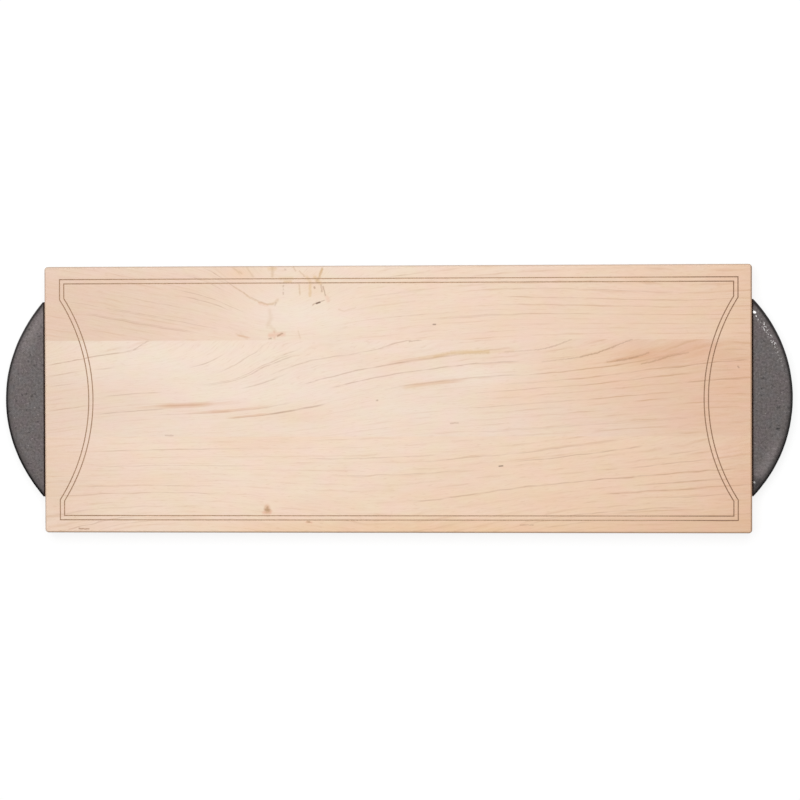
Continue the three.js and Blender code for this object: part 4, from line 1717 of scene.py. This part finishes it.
def thread_ring(height, length):
    """One ring of the threaded part, whose radius swells where the ridge passes."""
    taper = min(1.0, (length - height) / POINT_LENGTH)
    ring = []
    for x, y, z in circle(1.0, height):
        wound = height / THREAD_PITCH - math.atan2(y, x) / (2 * math.pi)
        ridge = max(0.0, math.cos(2 * math.pi * wound)) ** 2
        radius = taper * (ROOT_RADIUS + (THREAD_RADIUS - ROOT_RADIUS) * ridge)
        ring.append((x * radius, y * radius, z))
    return ring


print("turns of the thread in 10 mm:", round(10 * MM / THREAD_PITCH, 1))

# %% Cross recess
DRIVE_REACH = 2.3 * MM
DRIVE_HALF_WIDTH = 0.55 * MM
DRIVE_DEPTH = 1.6 * MM
DRIVE_TAPER = 0.72
DRIVE_MARGIN = CUT_MARGIN / 4


def drive_cutter():
    """A plus sign that narrows towards its bottom."""
    corners = []
    for quarter in range(4):
        angle = QUARTER_TURN * quarter
        for along, across in ((DRIVE_REACH, -DRIVE_HALF_WIDTH), (DRIVE_REACH, DRIVE_HALF_WIDTH)):
            x = along * math.cos(angle) - across * math.sin(angle)
            y = along * math.sin(angle) + across * math.cos(angle)
            corners.append((x, y))
        notch = angle + math.radians(45)
        reach = DRIVE_HALF_WIDTH * math.sqrt(2)
        corners.append((reach * math.cos(notch), reach * math.sin(notch)))
    wide = [(x, y, -DRIVE_MARGIN) for x, y in corners]
    narrow = [(DRIVE_TAPER * x, DRIVE_TAPER * y, DRIVE_DEPTH) for x, y in corners]
    return skin("drive_cutter", [wide, narrow])


print("the recess is", DRIVE_DEPTH / MM, "mm deep")

# %% Screws
HEAD_HEIGHT = 2.85 * MM
HEAD_EDGE = HEAD_RIM / 3
NECK_RADIUS = 1.45 * MM
NECK_LENGTH = 2 * MM
POINT_RADIUS = 0.02 * MM
RINGS_PER_TURN = 16


def make_screw(name, middle, head, point):
    """One wood screw, head down, in its hole."""
    length = point - head
    start = HEAD_HEIGHT + NECK_LENGTH
    profile = [(HEAD_RADIUS - HEAD_EDGE, 0), (HEAD_RADIUS, HEAD_EDGE), (HEAD_RADIUS, HEAD_RIM)]
    profile += [(NECK_RADIUS, HEAD_HEIGHT), (NECK_RADIUS, start)]
    rings = [circle(radius, height) for radius, height in profile]
    rise = THREAD_PITCH / RINGS_PER_TURN
    for step in range(1, math.ceil((length - start) / rise)):
        rings.append(thread_ring(start + step * rise, length))
    rings.append(circle(POINT_RADIUS, length))
    screw = skin(name, rings)
    cut(screw, drive_cutter())
    screw.data.transform(Matrix.Translation((middle.x, middle.y, head)))
    soften(screw, sharpest=30)
    return screw


screws = {}
for end in ENDS:
    for stave in staves:
        name = f"{end}_{stave}"
        screws[name] = make_screw("wood_screw_" + name, *screw_place(end, stave))
print("screws:", len(screws), "with", len(screws["left_back"].data.polygons), "faces each")

# %% [markdown]
# ## The screws' plated steel
#
# Wood screws of this kind are zinc plated: bright, a little yellow, and grained by the die that rolled
# them. The grain is noise squeezed along the axis so that it runs around the screw, and it changes both
# the colour and the roughness, because an even metal looks like a mirror and not like a screw.

# %% Build the plated steel
ZINC_LIGHT = tone(205, 198, 180)
ZINC_DARK = tone(140, 130, 112)
GRAIN_SQUEEZE = (1, 1, 5)
ZINC_RAMP = (0.35, 0.7)
ZINC_ROUGH_RAMP = (0.3, 0.7, 0.28, 0.45)


def plated_steel():
    """Yellowish zinc on steel."""
    material, tree, shader, place = finish("zinc_plated_steel")
    squeezed = reckon(tree, "MULTIPLY", place, GRAIN_SQUEEZE)
    grain = cloud(tree, squeezed, size=0.6, detail=3.0, rough=0.6)
    colour = blend(tree, soft_step(tree, grain, *ZINC_RAMP), ZINC_LIGHT, ZINC_DARK)
    rough = soft_step(tree, grain, *ZINC_ROUGH_RAMP)
    feed(tree, shader, {"Base Color": colour, "Roughness": rough, "Metallic": 1.0})
    return material


steel = plated_steel()
for name, screw in screws.items():
    dress(screw, steel)
    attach(screw, "root")
    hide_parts("screw_" + name)
print("screws finished in", steel.name)

# %% [markdown]
# ## A white table and soft light
#
# The board lies on a plain white table under one large soft lamp, a little towards its back edge, with a
# dim room around it. The table is a real matt surface, so that it takes the board's shadow. A small glow,
# seen by the camera and in reflections only, lifts it to white without putting more light on the board.

# %% Table
TABLE_HALF = 6.0
TABLE_DROP = 0.2 * MM
TABLE_GREY = 0.24
TABLE_GLOW = 0.8


def seen_directly(tree):
    """1 for what the camera sees, itself or in a reflection or through glass, and 0 for light."""
    path = put(tree, "LightPath").outputs
    mirror = calc(tree, "MAXIMUM", path["Is Glossy Ray"], path["Is Transmission Ray"])
    return calc(tree, "MAXIMUM", path["Is Camera Ray"], mirror)


def white_table():
    """Matt white with a slight glow for the eye."""
    material = bpy.data.materials.new("white_table")
    tree = clear_nodes(material)
    matt = put(tree, "BsdfDiffuse", {"Color": (TABLE_GREY, TABLE_GREY, TABLE_GREY, 1)})
    glow = put(tree, "Emission", {"Strength": times(tree, seen_directly(tree), TABLE_GLOW)})
    both = put(tree, "AddShader", {0: matt.outputs[0], 1: glow.outputs[0]})
    put(tree, "OutputMaterial", {0: both.outputs[0]})
    return material


corners = [(x * TABLE_HALF, y * TABLE_HALF, -TABLE_DROP) for x, y in CORNERS]
table_mesh = bpy.data.meshes.new("table")
table_mesh.from_pydata(corners, [], [(0, 1, 2, 3)])
table_mesh.materials.append(white_table())
table = lay_out("table", table_mesh)
print("table:", 2 * TABLE_HALF, "m wide")

# %% Room
ROOM_LIGHT = 0.25

room = bpy.data.worlds.new("room")
room_tree = clear_nodes(room)
strength = soft_step(room_tree, seen_directly(room_tree), 0.0, 1.0, ROOM_LIGHT, 1.0)
backdrop = put(room_tree, "Background", {"Color": (1, 1, 1, 1), "Strength": strength})
put(room_tree, "OutputWorld", {0: backdrop.outputs[0]})
bpy.context.scene.world = room
print("light of the room:", ROOM_LIGHT)

# %% Lamp
LAMP_SIZE = 2.6
LAMP_PLACE = Vector((-0.1, 0.6, 2.4))
LAMP_WATTS = 62

lamp_data = bpy.data.lights.new("soft_lamp", "AREA")
lamp_data.shape = "SQUARE"
lamp_data.size = LAMP_SIZE
lamp_data.energy = LAMP_WATTS
lamp = lay_out("soft_lamp", lamp_data)
lamp.location = LAMP_PLACE
lamp.visible_camera = False
lamp.rotation_euler = (-LAMP_PLACE).to_track_quat("-Z", "Y").to_euler()
bpy.context.scene.view_settings.view_transform = "Standard"
print("lamp at", [round(value, 2) for value in lamp.location], "m")
